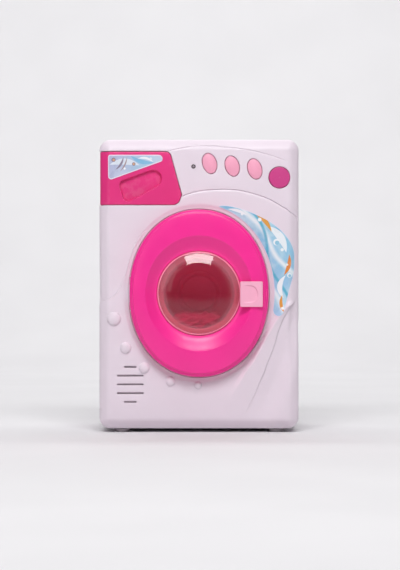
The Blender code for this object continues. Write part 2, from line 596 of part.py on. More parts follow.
led = turned("indicator_led", [(0.0, -46.4), (0.9, -46.2), (1.5, -45.4), (1.5, -41.2), (1.9, -41.2), (1.9, -40.2),
                               (0.0, -40.2)], *LED_POS, M_LED, steps=12)
join(led, box("led_leg_a", LED_POS[0] - 1.0, LED_POS[0] - 0.5, -40.6, -34.0, LED_POS[1] - 0.25, LED_POS[1] + 0.25, helper=True),
     box("led_leg_b", LED_POS[0] + 0.5, LED_POS[0] + 1.0, -40.6, -34.0, LED_POS[1] - 0.25, LED_POS[1] + 0.25, helper=True))

# ------------------------------------------------------------------ speaker
turned("speaker_frame", [(18.0, -43.2), (18.0, -42.0), (15.6, -40.4), (10.6, -34.6), (10.6, -33.8), (3.4, -33.8),
                         (3.4, -35.0), (9.2, -35.0), (14.4, -41.0), (15.6, -43.2)],
       *SPEAKER, M_BLACK, steps=20, closed=True)
turned("speaker_cone", [(0.0, -39.2), (4.0, -38.0), (13.6, -42.8), (13.6, -42.2), (4.0, -37.2), (0.0, -38.4)],
              *SPEAKER, M_BLACK, steps=16)
cyl("speaker_magnet", *SPEAKER, 10.0, -33.5, -27.5, M_STEEL, segments=16)

# -------------------------------------------------------------- tub and drum
turned("tub", [(40.7, -43.4), (42.3, -43.4), (42.3, 14.6), (8.0, 14.6), (8.0, 13.0), (40.7, 13.0)],
       *DRUM_AXIS, M_WHITE, steps=32, closed=True)
drum = turned("drum", [(0.0, 6.8), (14.2, 6.8), (15.6, 8.8), (35.6, 9.4), (37.0, 8.0), (37.0, -35.6),
                       (36.0, -36.8), (28.6, -37.2), (28.6, -38.6), (36.6, -38.4), (38.6, -36.6), (38.6, 11.0),
                       (6.0, 11.0), (6.0, 14.0), (2.8, 14.0), (2.8, 8.6), (0.0, 8.6)],
              *DRUM_AXIS, M_DRUM, steps=32)
for k, deg in enumerate((90.0, 210.0, 330.0)):
    t = math.radians(deg)
    bm = bmesh.new()
    ring0, ring1 = [], []
    for u, v in ((-5.0, 37.8), (-1.6, 30.6), (1.6, 30.6), (5.0, 37.8)):
        x = v * math.cos(t) - u * math.sin(t)
        z = DOOR_Z + v * math.sin(t) + u * math.cos(t)
        ring0.append(bm.verts.new((x, -33.0, z)))
        ring1.append(bm.verts.new((x, 10.0, z)))
    for i in range(4):
        j = (i + 1) % 4
        bm.faces.new((ring0[i], ring0[j], ring1[j], ring1[i]))
    bm.faces.new(ring0)
    bm.faces.new(ring1)
    join(drum, finish_mesh(bm, f"paddle_{k}", helper=True))

cyl("drum_shaft", *DRUM_AXIS, 2.5, 9.0, 36.0, M_STEEL, segments=12)
turned("drum_bush", [(2.8, 14.9), (6.6, 14.9), (6.6, 16.6), (4.6, 16.6), (4.6, 20.4), (2.8, 20.4)],
       *DRUM_AXIS, M_BLACK, steps=12, closed=True)

# ------------------------------------------------------------------ gearbox
drum_gear = plate("drum_gear", gear_outline(*DRUM_AXIS, DRUM_TEETH, IDLER_ANGLE), 21.6, 25.6, M_WHITE)
join(drum_gear, cyl("drum_gear_hub", *DRUM_AXIS, 6.0, 21.0, 30.0, helper=True, segments=14))
cut(drum_gear, cyl("drum_gear_bore", *DRUM_AXIS, 2.9, 15, 35, helper=True, segments=12))
idler = plate("idler_gear", gear_outline(*IDLER_AXIS, IDLER_BIG, 0.0), 26.8, 30.6, M_WHITE)
join(idler, plate("idler_small", gear_outline(*IDLER_AXIS, IDLER_SMALL,
                                              IDLER_ANGLE + math.pi + math.pi / IDLER_SMALL), 20.6, 27.4, helper=True))
cut(idler, cyl("idler_bore", *IDLER_AXIS, 1.8, 15, 35, helper=True, segments=10))
pinion = plate("motor_pinion", gear_outline(*MOTOR_AXIS, PINION_TEETH, math.pi + math.pi / PINION_TEETH),
               26.6, 31.0, M_WHITE)
cut(pinion, cyl("pinion_bore", *MOTOR_AXIS, 1.3, 20, 35, helper=True, segments=10))
cyl("idler_axle", *IDLER_AXIS, 1.5, 17.4, 34.4, M_STEEL, segments=10)
cyl("motor_shaft", *MOTOR_AXIS, 1.0, 25.6, 36.4, M_STEEL, segments=10)

GEARBOX_OUTLINE = rounded([(-29.0, 84.0), (55.0, 84.0), (55.0, 160.0), (-29.0, 160.0)], 5.0, 3)
gearbox_front = plate("gearbox_front", GEARBOX_OUTLINE, 17.0, 19.0, M_WHITE)
for i, (x, z) in enumerate(GEARBOX_CORNERS):
    join(gearbox_front, cyl(f"gearbox_post_{i}", x, z, 3.2, 18.0, 31.7, helper=True, segments=10))
for i, (x, z) in enumerate(GEARBOX_CORNERS):
    cut(gearbox_front, cyl(f"gearbox_post_bore_{i}", x, z, 1.5, 10, 35, helper=True, segments=8))
cut(gearbox_front, cyl("bush_seat", *DRUM_AXIS, 5.0, 10, 25, helper=True, segments=12),
    cyl("axle_seat_front", *IDLER_AXIS, 1.8, 10, 25, helper=True, segments=10))
gearbox_rear = plate("gearbox_rear", GEARBOX_OUTLINE, 32.0, 34.1, M_WHITE)
for i, (x, z) in enumerate(GEARBOX_CORNERS):
    cut(gearbox_rear, cyl(f"gearbox_rear_bore_{i}", x, z, 1.5, 30, 40, helper=True, segments=8))
cut(gearbox_rear, cyl("shaft_seat", *DRUM_AXIS, 2.9, 30, 40, helper=True, segments=12),
    cyl("axle_seat_rear", *IDLER_AXIS, 1.8, 30, 40, helper=True, segments=10),
    cyl("motor_seat", *MOTOR_AXIS, 3.5, 30, 40, helper=True, segments=12))
for i, (x, z) in enumerate(GEARBOX_SCREWS):
    screw(f"gearbox_screw_{i + 1}", x, z, 16.7, 44.0, 2.6, 1.6, 1.2, 1)

motor = turned("motor_can", [(0.0, 37.0), (1.3, 37.0), (1.3, 33.0), (3.1, 33.0), (3.1, 34.4), (9.4, 34.4),
                             (10.0, 35.0), (10.0, 53.4), (9.0, 54.4), (0.0, 54.4)],
               *MOTOR_AXIS, M_STEEL, steps=16)
flat_a = box("motor_flat_a", MOTOR_AXIS[0] - 12, MOTOR_AXIS[0] + 12, 34.2, 56, MOTOR_AXIS[1] + 7.6, MOTOR_AXIS[1] + 12, helper=True)
flat_b = box("motor_flat_b", MOTOR_AXIS[0] - 12, MOTOR_AXIS[0] + 12, 34.2, 56, MOTOR_AXIS[1] - 12, MOTOR_AXIS[1] - 7.6, helper=True)
cut(motor, flat_a, flat_b)

# -------------------------------------------------------------------- wires
tube("battery_wire", smooth_route([(-34, 52.0, 82.5), (-44, 50.0, 96), (-60, 44.0, 120), (-62, 30.0, 160),
                                   (-40, 22.0, 176), (-8, 0.0, 184), (4, -18.0, 200), (6, -30.6, 204)], 3),
     0.9, M_WIRE, 2)
tube("speaker_wire", smooth_route([(-55, -26.6, 38.6), (-58, -18.0, 46), (-66, -10.0, 66), (-68, -4.0, 110),
                                   (-66, 4.0, 150), (-52, 14.0, 172), (-20, 16.0, 174.6), (0, -6.0, 178), (10, -24.0, 194),
                                   (12, -30.6, 200)], 3), 0.8, M_BLACK, 2)

# --------------------------------------------------------------------- door
DOOR_STATIONS = [
    (56.1, 67.2, -46.0), (56.1, 67.2, -53.6), (55.2, 66.3, -55.6), (52.4, 63.5, -56.9), (47.6, 54.8, -57.5),
    (43.4, 46.5, -57.1), (42.2, 45.2, -56.3), (36.2, 36.6, -51.8), (33.8, 33.8, -51.2), (33.8, 33.8, -49.8),
    (37.0, 37.4, -49.8), (42.8, 45.9, -54.0), (47.6, 54.8, -55.3), (52.4, 63.5, -54.4), (53.9, 65.0, -52.8),
    (53.9, 65.0, -46.0)]
door_ring = loft("door_ring", DOOR_STATIONS, M_DOOR, segments=44)
DOOR_SCREWS = ((-33.0, 46.0), (33.0, 46.0), (-33.0, -46.0), (33.0, -46.0))
for i, (x, z) in enumerate(DOOR_SCREWS):
    join(door_ring, cyl(f"door_boss_{i}", x, DOOR_Z + z, 3.0, -56.0, -48.4, helper=True, segments=10))
for i, (x, z) in enumerate(DOOR_SCREWS):
    cut(door_ring, cyl(f"door_boss_bore_{i}", x, DOOR_Z + z, 1.4, -54.2, -46, helper=True, segments=8))
cut(door_ring, box("hinge_notch", -60, HINGE_X + 3.4, -52.4, -44, DOOR_Z - 14.6, DOOR_Z + 14.6, helper=True))
for i, (z0, z1) in enumerate(((DOOR_Z + 6.4, DOOR_Z + 13.2), (DOOR_Z - 13.2, DOOR_Z - 6.4))):
    join(door_ring, cyl_z(f"door_knuckle_{i}", HINGE_X, HINGE_Y, 2.5, z0, z1, helper=True, segments=16),
         box(f"door_knuckle_web_{i}", HINGE_X - 2.0, HINGE_X + 2.5, -55.6, HINGE_Y, z0, z1, helper=True))
cut(door_ring, cyl_z("door_pin_bore", HINGE_X, HINGE_Y, 1.5, DOOR_Z - 16, DOOR_Z + 16, helper=True, segments=12))
join(door_ring, box("spring_stop", 51.4, 54.6, -55.0, -48.6, DOOR_Z - 4.4, DOOR_Z + 3.0, helper=True))
cut(door_ring, box("latch_slot", 43.4, 49.6, -62, -53.4, 103.2, 118.6, helper=True))

back_ring = loft("door_back_ring", [(53.3, 64.4, -48.0), (53.3, 64.4, -46.2), (36.8, 36.8, -46.2), (36.8, 36.8, -41.0),
                                    (34.6, 34.6, -41.0), (34.6, 34.6, -48.0)], M_PALE, segments=44)
cut(back_ring, box("back_ring_hinge_cut", -60, HINGE_X + 3.8, -50, -44, DOOR_Z - 15.0, DOOR_Z + 15.0, helper=True),
    box("back_ring_latch_slot", 43.4, 49.8, -50, -44, 103.2, 118.6, helper=True))
for i, (x, z) in enumerate(DOOR_SCREWS):
    cut(back_ring, cyl(f"door_screw_seat_{i}", x, DOOR_Z + z, 3.0, -47.2, -44, helper=True, segments=10),
        cyl(f"door_screw_way_{i}", x, DOOR_Z + z, 1.4, -50, -44, helper=True, segments=8))
    screw(f"door_screw_{i + 1}", x, DOOR_Z + z, -46.9, -53.4, 2.5, 1.3, 1.1, -1)

# The window is a clear dome held between the two rings.
WINDOW_R, WINDOW_RISE, WINDOW_T = 33.4, 6.0, 1.4
outer, inner = [], []
for k in range(6):
    t = math.pi / 2 * k / 5
    outer.append((WINDOW_R * math.cos(t) ** 0.9 if k < 5 else 0.0, -51.4 - WINDOW_RISE * math.sin(t)))
    inner.append(((WINDOW_R - WINDOW_T) * math.cos(t) ** 0.9 if k < 5 else 0.0,
                  -51.4 + WINDOW_T - WINDOW_RISE * math.sin(t)))
turned("window_dome", list(reversed(outer)) + [(WINDOW_R, -49.5), (36.8, -49.5), (36.8, -48.3),
                                               (WINDOW_R - WINDOW_T, -48.3)] + inner,
       0, DOOR_Z, M_WINDOW, steps=36)

cyl_z("hinge_pin", HINGE_X, HINGE_Y, 1.2, DOOR_Z - 13.0, DOOR_Z + 13.0, M_STEEL, segments=12)

# ---------------------------------------------------------------- door latch
latch = box("door_latch", LATCH_X0, LATCH_X1, LATCH_FRONT, -57.8, LATCH_Z0, LATCH_Z1, M_PALE)
join(latch, box("latch_block", LATCH_X0, 36.8, -58.4, -55.6, LATCH_Z0, LATCH_Z1, helper=True),
     box("latch_tongue", TONGUE_X0, TONGUE_X1, -58.4, -40.6, 104.2, 117.6, helper=True),
     box("latch_barb", TONGUE_X0 - 1.1, TONGUE_X0 + 0.6, -42.8, -40.6, 104.2, 117.6, helper=True))
d_pts = [(35.2, 117.6), (40.6, 117.6)]
for k in range(1, 8):
    t = math.radians(90 - k * 180 / 8)
    d_pts.append((40.6 + 5.6 * math.cos(t), 110.8 + 6.8 * math.sin(t)))
d_pts += [(40.6, 104.0), (35.2, 104.0)]
cut(latch, plate("latch_pad", d_pts, -62, LATCH_FRONT + 0.6, helper=True))


def coil(name, x0, x1, y, z, r, wire, turns, mat, per_turn=9):
    n = int(turns * per_turn)
    pts = [(x0 + (x1 - x0) * i / n, y + r * math.cos(math.tau * i / per_turn), z + r * math.sin(math.tau * i / per_turn))
           for i in range(n + 1)]
    return tube(name, pts, wire, mat, 1)


coil("latch_spring", 46.9, 50.9, -51.4, DOOR_Z - 0.7, 1.7, 0.22, 4.0, M_STEEL, 8)

# ------------------------------------------------------------------ laundry
# A small folded cloth lying in the bottom of the drum, between two paddles.
bm = bmesh.new()
rows = []
for y in (-31.0, -29.0, -20.0, -10.0, -4.0, -2.0):
    shrink = 0.84 if y in (-31.0, -2.0) else 1.0
    ring = []
    for k in range(12):
        t = math.tau * k / 12
        u, v = math.cos(t), math.sin(t)
        x = 18.5 * shrink * math.copysign(abs(u) ** 0.7, u)
        mid = DOOR_Z - 25.0
        top = 9.4 * shrink * abs(v) ** 0.7
        floor_z = DOOR_Z - math.sqrt(36.2 ** 2 - x * x)
        ring.append(bm.verts.new((x, y, mid + top if v > 0 else mid + (floor_z - mid) * abs(v) ** 0.7 * shrink)))
    rows.append(ring)
for a, b in zip(rows, rows[1:]):
    for i in range(12):
        j = (i + 1) % 12
        bm.faces.new((a[i], a[j], b[j], b[i]))
bm.faces.new(rows[0])
bm.faces.new(list(reversed(rows[-1])))
finish_mesh(bm, "laundry_cloth", M_CLOTH)

# ------------------------------------------------- joint axes and parenting
# Each moving group hangs on an empty that lies on its own axis.


def on_axis(name, location, *children, parent=None):
    empty = bpy.data.objects.new(name, None)
    empty.empty_display_size = 0.01
    PARTS.objects.link(empty)
    empty.location = [c * MM for c in location]
    bpy.context.view_layer.update()
    if parent is not None:
        empty.parent = parent
        empty.matrix_parent_inverse = parent.matrix_world.inverted()
    bpy.context.view_layer.update()
    for child in children:
        obj = bpy.data.objects[child]
        obj.parent = empty
        obj.matrix_parent_inverse = empty.matrix_world.inverted()
    return empty


door_axis = on_axis("door_axis", (HINGE_X, HINGE_Y, DOOR_Z), "door_ring", "door_back_ring", "window_dome",
                    "hinge_pin", "latch_spring", *[f"door_screw_{i + 1}" for i in range(4)])
on_axis("latch_axis", (TONGUE_X0, LATCH_FRONT, DOOR_Z), "door_latch", parent=door_axis)
on_axis("drawer_axis", (-50.0, FRONT_Y, 199.0), "detergent_drawer", "drawer_sticker")
for i, (x, z) in enumerate(BUTTONS):
    on_axis(f"button_axis_{i + 1}", (x, FRONT_Y, z), f"program_button_{i + 1}")
on_axis("start_axis", (START[0], FRONT_Y, START[1]), "start_button")
on_axis("drum_axis", (0, 0, DOOR_Z), "drum", "drum_shaft", "drum_gear", "laundry_cloth")
on_axis("idler_axis", (IDLER_AXIS[0], 25.0, IDLER_AXIS[1]), "idler_gear")
on_axis("motor_axis", (MOTOR_AXIS[0], 29.0, MOTOR_AXIS[1]), "motor_pinion", "motor_shaft")
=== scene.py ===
import math

import bmesh
import bpy
import numpy as np
from mathutils import Matrix, Vector, geometry


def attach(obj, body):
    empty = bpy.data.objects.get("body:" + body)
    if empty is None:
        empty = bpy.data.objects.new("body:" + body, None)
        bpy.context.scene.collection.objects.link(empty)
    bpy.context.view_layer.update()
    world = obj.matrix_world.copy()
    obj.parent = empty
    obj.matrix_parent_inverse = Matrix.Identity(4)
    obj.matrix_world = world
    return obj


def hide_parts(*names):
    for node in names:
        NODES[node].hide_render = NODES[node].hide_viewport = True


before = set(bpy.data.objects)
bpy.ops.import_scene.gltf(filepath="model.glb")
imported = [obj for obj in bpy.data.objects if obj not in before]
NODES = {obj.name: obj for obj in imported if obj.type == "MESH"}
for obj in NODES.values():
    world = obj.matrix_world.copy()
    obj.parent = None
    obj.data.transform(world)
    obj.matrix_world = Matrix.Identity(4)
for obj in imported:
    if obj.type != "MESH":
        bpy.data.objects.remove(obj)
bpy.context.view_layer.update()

MM = 0.001

# ------------------------------------------------------------ main sizes (mm)
HALF_W, BOTTOM, TOP, CORNER = 80.0, 3.0, 235.0, 9.0
FRONT_Y, PART_Y, BACK_Y = -46.0, -20.0, 59.0
MID_Z = (BOTTOM + TOP) / 2
DOOR_Z = 111.6
RECESS_A, RECESS_B = 59.2, 70.3
DOOR_A, DOOR_B, SQUARE = 56.1, 67.2, 2.09     # the door is a slightly squared oval
HINGE_X, HINGE_Y = -53.0, -49.2
BUTTONS = ((8.5, 215.4), (26.6, 213.3), (44.6, 211.0))
BUTTON_A, BUTTON_B, BUTTON_TILT = 8.15, 5.45, math.radians(17.0)
START, START_R = (64.4, 204.2), 8.4
LED = (-4.4, 213.0)
SLITS = ((-60.0, -50.0, 52.6), (-65.6, -44.4, 45.6), (-65.6, -44.4, 38.6),
         (-65.6, -44.4, 31.6), (-60.0, -50.0, 24.6))
BUBBLES = ((-68.0, 91.1, 5.4, 2.6), (-58.7, 67.9, 4.5, 2.3), (-43.9, 51.8, 4.2, 2.2),
           (-22.8, 41.1, 3.9, 2.0), (-0.8, 38.1, 3.0, 1.7))
POSTS = ((-69.0, 14.0), (69.0, 14.0), (-2.0, 227.2), (69.0, 226.0))


def seen(x, y):
    """A place on the front face, in mm, from its place in a 400 by 570 front view."""
    return (x - 199.0) * 0.8, TOP - (y - 139.0) * 0.8


# ------------------------------------------------------------- 2D outlines
def smooth(x):
    x = np.clip(x, 0.0, 1.0)
    return x * x * (3 - 2 * x)


def resample(points, step, closed=False):
    p = np.array(points, float)
    if closed:
        p = np.vstack([p, p[:1]])
    s = np.concatenate([[0], np.cumsum(np.hypot(*np.diff(p, axis=0).T))])
    n = max(3 if closed else 1, int(round(s[-1] / step)))
    t = np.linspace(0, s[-1], n + 1)
    out = np.column_stack([np.interp(t, s, p[:, 0]), np.interp(t, s, p[:, 1])])
    return out[:-1] if closed else out


def curve(points, step, per=12):
    """A smooth line through points, read every step."""
    p = [np.array(q, float) for q in points]
    p = [2 * p[0] - p[1]] + p + [2 * p[-1] - p[-2]]
    out = []
    for a, b, c, d in zip(p, p[1:], p[2:], p[3:]):
        for k in range(per):
            t = k / per
            out.append(0.5 * (2 * b + (c - a) * t + (2 * a - 5 * b + 4 * c - d) * t * t
                              + (3 * b - a - 3 * c + d) * t ** 3))
    out.append(p[-2])
    return resample(out, step)


def oval(cx, cz, a, b, n, tilt=0.0, grow=0.0):
    """a is the half size along the tilted upright axis, b across it."""
    t = np.arange(n) * math.tau / n
    x, z = (b + grow) * np.cos(t), (a + grow) * np.sin(t)
    return np.column_stack([cx + x * math.cos(tilt) - z * math.sin(tilt),
                            cz + x * math.sin(tilt) + z * math.cos(tilt)])


def squared(a, b, n, power=None):
    """The door's own outline, a squared oval round its middle."""
    t = np.arange(n) * math.tau / n
    e = 2 / (SQUARE if power is None else power)
    c, s = np.cos(t), np.sin(t)
    return np.column_stack([a * np.sign(c) * np.abs(c) ** e, DOOR_Z + b * np.sign(s) * np.abs(s) ** e])


def squared_distance(uv, a, b):
    """Distance outwards from such an outline."""
    x, z = np.abs(uv[:, 0]) + 1e-6, np.abs(uv[:, 1] - DOOR_Z) + 1e-6
    f = ((x / a) ** SQUARE + (z / b) ** SQUARE) ** (1 / SQUARE)
    gx = f ** (1 - SQUARE) * x ** (SQUARE - 1) / a ** SQUARE
    gz = f ** (1 - SQUARE) * z ** (SQUARE - 1) / b ** SQUARE
    return (f - 1) / np.hypot(gx, gz)


def disc(cx, cz, r, n):
    return oval(cx, cz, r, r, n)


def rounded(points, radii, steps=8):
    out = []
    n = len(points)
    for i in range(n):
        p0, p1, p2 = Vector(points[i - 1]), Vector(points[i]), Vector(points[(i + 1) % n])
        r = radii[i] if isinstance(radii, (list, tuple)) else radii
        d0, d2 = (p0 - p1).normalized(), (p2 - p1).normalized()
        half = math.acos(max(-1, min(1, d0.dot(d2)))) / 2
        if r <= 0 or half > 1.56:
            out.append(tuple(p1))
            continue
        a, b = p1 + d0 * (r / math.tan(half)), p1 + d2 * (r / math.tan(half))
        centre = p1 + (d0 + d2).normalized() * (r / math.sin(half))
        va, vb = a - centre, b - centre
        total = va.angle(vb) * (1 if va.x * vb.y - va.y * vb.x > 0 else -1)
        for k in range(steps + 1):
            g = total * k / steps
            out.append((centre.x + va.x * math.cos(g) - va.y * math.sin(g),
                        centre.y + va.x * math.sin(g) + va.y * math.cos(g)))
    return np.array(out)


def box_outline(x0, x1, z0, z1, r, steps=6):
    return rounded([(x0, z0), (x1, z0), (x1, z1), (x0, z1)], r, steps)


def area(loop):
    x, y = np.array(loop).T
    return 0.5 * float(np.sum(x * np.roll(y, -1) - y * np.roll(x, -1)))


def offset(loop, d):
    """A closed outline moved outwards by d, or inwards where d is negative."""
    p = np.array(loop, float)
    if area(p) < 0:
        p = p[::-1]
    e = np.roll(p, -1, axis=0) - p
    e /= np.maximum(np.hypot(*e.T), 1e-9)[:, None]
    n = np.column_stack([e[:, 1], -e[:, 0]])
    m = n + np.roll(n, 1, axis=0)
    m /= np.maximum(np.hypot(*m.T), 1e-9)[:, None]
    k = 1 / np.clip((m * n).sum(1), 0.5, 1)
    return p + m * (d * k)[:, None]


def inside(points, loop):
    """Which points lie inside a closed outline."""
    p, q = np.array(points), np.array(loop)
    x, y = p.T
    out = np.zeros(len(p), bool)
    near = (x > q[:, 0].min()) & (x < q[:, 0].max()) & (y > q[:, 1].min()) & (y < q[:, 1].max())
    xs, ys = x[near], y[near]
    flag = np.zeros(len(xs), bool)
    for (x0, y0), (x1, y1) in zip(q, np.roll(q, -1, axis=0)):
        if y0 == y1:
            continue
        cross = ((ys > min(y0, y1)) & (ys <= max(y0, y1))
                 & (xs < x0 + (ys - y0) * (x1 - x0) / (y1 - y0)))
        flag ^= cross
    out[near] = flag
    return out


def off_line(points, line, closed=False, reach=None):
    """Distance to a polyline, its side (positive to the right of its way) and the place along it, 0 to 1."""
    p, q = np.array(points, float), np.array(line, float)
    if closed:
        q = np.vstack([q, q[:1]])
    best = np.full(len(p), 1e9)
    side, place = np.ones(len(p)), np.zeros(len(p))
    if reach is not None:
        near = np.flatnonzero((p[:, 0] > q[:, 0].min() - reach) & (p[:, 0] < q[:, 0].max() + reach)
                              & (p[:, 1] > q[:, 1].min() - reach) & (p[:, 1] < q[:, 1].max() + reach))
    else:
        near = np.arange(len(p))
    w = p[near]
    b, s, g = best[near], side[near], place[near]
    length = np.concatenate([[0], np.cumsum(np.hypot(*np.diff(q, axis=0).T))])
    for i in range(len(q) - 1):
        d = q[i + 1] - q[i]
        n = float(d @ d)
        if n < 1e-12:
            continue
        t = np.clip(((w - q[i]) @ d) / n, 0, 1)
        r = w - q[i] - t[:, None] * d
        dist = np.hypot(r[:, 0], r[:, 1])
        closer = dist < b - 1e-9
        b = np.where(closer, dist, b)
        cross = d[0] * r[:, 1] - d[1] * r[:, 0]
        s = np.where(closer, np.where(cross > 0, -1.0, 1.0), s)
        g = np.where(closer, (length[i] + t * math.sqrt(n)) / length[-1], g)
    best[near], side[near], place[near] = b, s, g
    return best, side, place


# ------------------------------------------------------------ surface meshes
def triangulate(points, edges, loops):
    """A triangulation that holds the given edges, kept inside loops[0] and outside the others."""
    made = geometry.delaunay_2d_cdt([Vector((float(x), float(y))) for x, y in points],
                                    edges, [], 0, 1e-4, True)
    verts = np.array([(v.x, v.y) for v in made[0]])
    faces = np.array([f for f in made[2] if len(f) == 3], int)
    middle = verts[faces].mean(axis=1)
    keep = inside(middle, loops[0])
    for hole in loops[1:]:
        keep &= ~inside(middle, hole)
    return verts, faces[keep], made[3]


class Lines:
    """Points and edges for a triangulation."""

    def __init__(self):
        self.points, self.edges = [], []

    def add(self, line, closed=False):
        base, n = len(self.points), len(line)
        self.points.extend((float(x), float(y)) for x, y in line)
        self.edges.extend((base + i, base + i + 1) for i in range(n - 1))
        if closed:
            self.edges.append((base + n - 1, base))
        return self

    def dots(self, points):
        self.points.extend((float(x), float(y)) for x, y in points)
        return self


def compact(verts, faces):
    used, flat = np.unique(faces, return_inverse=True)
    return verts[used], flat.reshape(faces.shape)


def make_object(name, verts, faces, mats, index=None, sharp=38.0, weld=0.0, recalc=True):
    """An object from points in mm; it also gets a wear mask that is high on its outer edges."""
    mesh = bpy.data.meshes.new(name)
    bm = bmesh.new()
    vs = [bm.verts.new((x * MM, y * MM, z * MM)) for x, y, z in verts]
    for k, f in enumerate(faces):
        f = list(dict.fromkeys(int(i) for i in f))
        if len(f) < 3:
            continue
        try:
            face = bm.faces.new([vs[i] for i in f])
        except ValueError:
            continue
        if index is not None:
            face.material_index = int(index[k])
    if weld:
        bmesh.ops.remove_doubles(bm, verts=bm.verts, dist=weld * MM)
    loose = [v for v in bm.verts if not v.link_faces]
    bmesh.ops.delete(bm, geom=loose, context="VERTS")
    if recalc:
        bmesh.ops.recalc_face_normals(bm, faces=bm.faces)
    bm.verts.ensure_lookup_table()
    total = np.zeros(len(bm.verts))
    bm.verts.index_update()
    for e in bm.edges:
        if len(e.link_faces) == 2:
            g = e.calc_face_angle_signed(0.0)
            if g > 0.12:
                g = min(g, 1.2)
                a, b = e.verts
                total[a.index] = max(total[a.index], g)
                total[b.index] = max(total[b.index], g)
    bm.to_mesh(mesh)
    bm.free()
    wear = mesh.attributes.new("wear", "FLOAT", "POINT")
    wear.data.foreach_set("value", np.clip(total / 0.9, 0, 1).astype(np.float32))
    for m in mats if isinstance(mats, (list, tuple)) else [mats]:
        mesh.materials.append(m)
    mesh.shade_smooth()
    mesh.set_sharp_from_angle(angle=math.radians(sharp))
    obj = bpy.data.objects.new(name, mesh)
    bpy.context.scene.collection.objects.link(obj)
    return obj


class Parts:
    """Closed bodies gathered into one piece."""

    def __init__(self):
        self.verts, self.faces, self.index = [], [], []
        self.n = 0

    def add(self, verts, faces, index=0):
        verts = np.array(verts, float)
        self.verts.append(verts)
        self.faces.extend([[int(i) + self.n for i in f] for f in faces])
        self.index.extend([index] * len(faces) if np.isscalar(index) else list(index))
        self.n += len(verts)
        return self

    def make(self, name, mats, **kw):
        return make_object(name, np.vstack(self.verts), self.faces, mats, index=self.index, **kw)


def two_sided(place, loops, outer, inner, outer_h, inner_h):
    """A wall between two surfaces over the same outlines. place(uv, h) gives points in space; outer and inner are Lines."""
    pts, edges = list(outer.points), list(outer.edges)
    for loop in loops:
        base = len(pts)
        pts.extend(map(tuple, loop))
        edges.extend((base + i, base + (i + 1) % len(loop)) for i in range(len(loop)))
    vo, fo, _ = triangulate(pts, edges, loops)
    vo, fo = compact(vo, fo)
    pairs = np.vstack([fo[:, [0, 1]], fo[:, [1, 2]], fo[:, [2, 0]]])
    key = np.sort(pairs, axis=1)
    order = key[:, 0].astype(np.int64) * (len(vo) + 1) + key[:, 1]
    _, first, count = np.unique(order, return_index=True, return_counts=True)
    rim = pairs[first[count == 1]]
    ring = np.unique(rim)
    place_of = {int(v): i for i, v in enumerate(ring)}
    pts = [tuple(vo[i]) for i in ring]
    edges = [(place_of[int(a)], place_of[int(b)]) for a, b in rim]
    base = len(pts)
    pts += list(inner.points)
    edges += [(a + base, b + base) for a, b in inner.edges]
    vi, fi, orig = triangulate(pts, edges, loops)
    back = {}
    for out, src in enumerate(orig):
        for s in src:
            if s < base:
                back[s] = out
    top = place(vo, outer_h(vo))
    low = place(vi, inner_h(vi))
    n = len(top)
    faces = [tuple(f) for f in fo]
    faces += [(f[0] + n, f[2] + n, f[1] + n) for f in fi]
    for a, b in rim:
        ia, ib = back[place_of[int(a)]] + n, back[place_of[int(b)]] + n
        faces.append((b, a, ia, ib))
    return np.vstack([top, low]), faces


def flat_place(front_y, side=1.0):
    """Heights stand out towards the front (side 1) or the back (side -1) of a flat face at front_y."""
    def place(uv, h):
        return np.column_stack([uv[:, 0], front_y - side * h, uv[:, 1]])
    return place


def ring_faces(n, a, b):
    """Quads between two rings of n points that start at indices a and b."""
    return [(a + i, a + (i + 1) % n, b + (i + 1) % n, b + i) for i in range(n)]


def lofted(rings, cap_first=False, cap_last=False, loop=False):
    """Rings with the same number of points, joined in turn; a cap fans out to a middle point."""
    n = len(rings[0])
    verts = [np.array(r, float) for r in rings]
    faces = []
    for k in range(len(rings) - 1):
        faces += ring_faces(n, k * n, (k + 1) * n)
    if loop:
        faces += ring_faces(n, (len(rings) - 1) * n, 0)
    total = n * len(rings)
    for flag, k in ((cap_first, 0), (cap_last, len(rings) - 1)):
        if flag:
            verts.append(verts[k].mean(axis=0)[None])
            faces += [(k * n + i, k * n + (i + 1) % n, total) for i in range(n)]
            total += 1
    return np.vstack(verts), faces


def turned(profile, cx, cz, n=96, closed=True, axis="y"):
    """A profile of (radius, y) about an axis along Y through (cx, cz); radius 0 makes a pole."""
    profile = [tuple(map(float, p)) for p in profile]
    t = np.arange(n) * math.tau / n
    verts, starts = [], []
    total = 0
    for r, y in profile:
        if r < 1e-6:
            verts.append(np.array([[cx, y, cz]]))
            starts.append((total, 1))
            total += 1
        else:
            verts.append(np.column_stack([cx + r * np.cos(t), np.full(n, y), cz + r * np.sin(t)]))
            starts.append((total, n))
            total += n
    faces = []
    m = len(profile)
    for k in range(m if closed else m - 1):
        (a, na), (b, nb) = starts[k], starts[(k + 1) % m]
        if na == 1 and nb == 1:
            continue
        if na == 1:
            faces += [(a, b + i, b + (i + 1) % n) for i in range(n)]
        elif nb == 1:
            faces += [(a + i, a + (i + 1) % n, b) for i in range(n)]
        else:
            faces += ring_faces(n, a, b)
    verts = np.vstack(verts)
    if axis == "z":     # the same shape about an upright axis: y becomes height
        verts = np.column_stack([verts[:, 0], verts[:, 2], verts[:, 1]])
    return verts, faces


def bend_round(r, corner0, corner1, n=5):
    """Points on a quarter round between two directions, for profiles: corner0 and corner1 are (dx, dy) unit steps."""
    return [(r * (corner0[0] * math.cos(k / n * math.pi / 2) + corner1[0] * math.sin(k / n * math.pi / 2)),
             r * (corner0[1] * math.cos(k / n * math.pi / 2) + corner1[1] * math.sin(k / n * math.pi / 2)))
            for k in range(n + 1)]


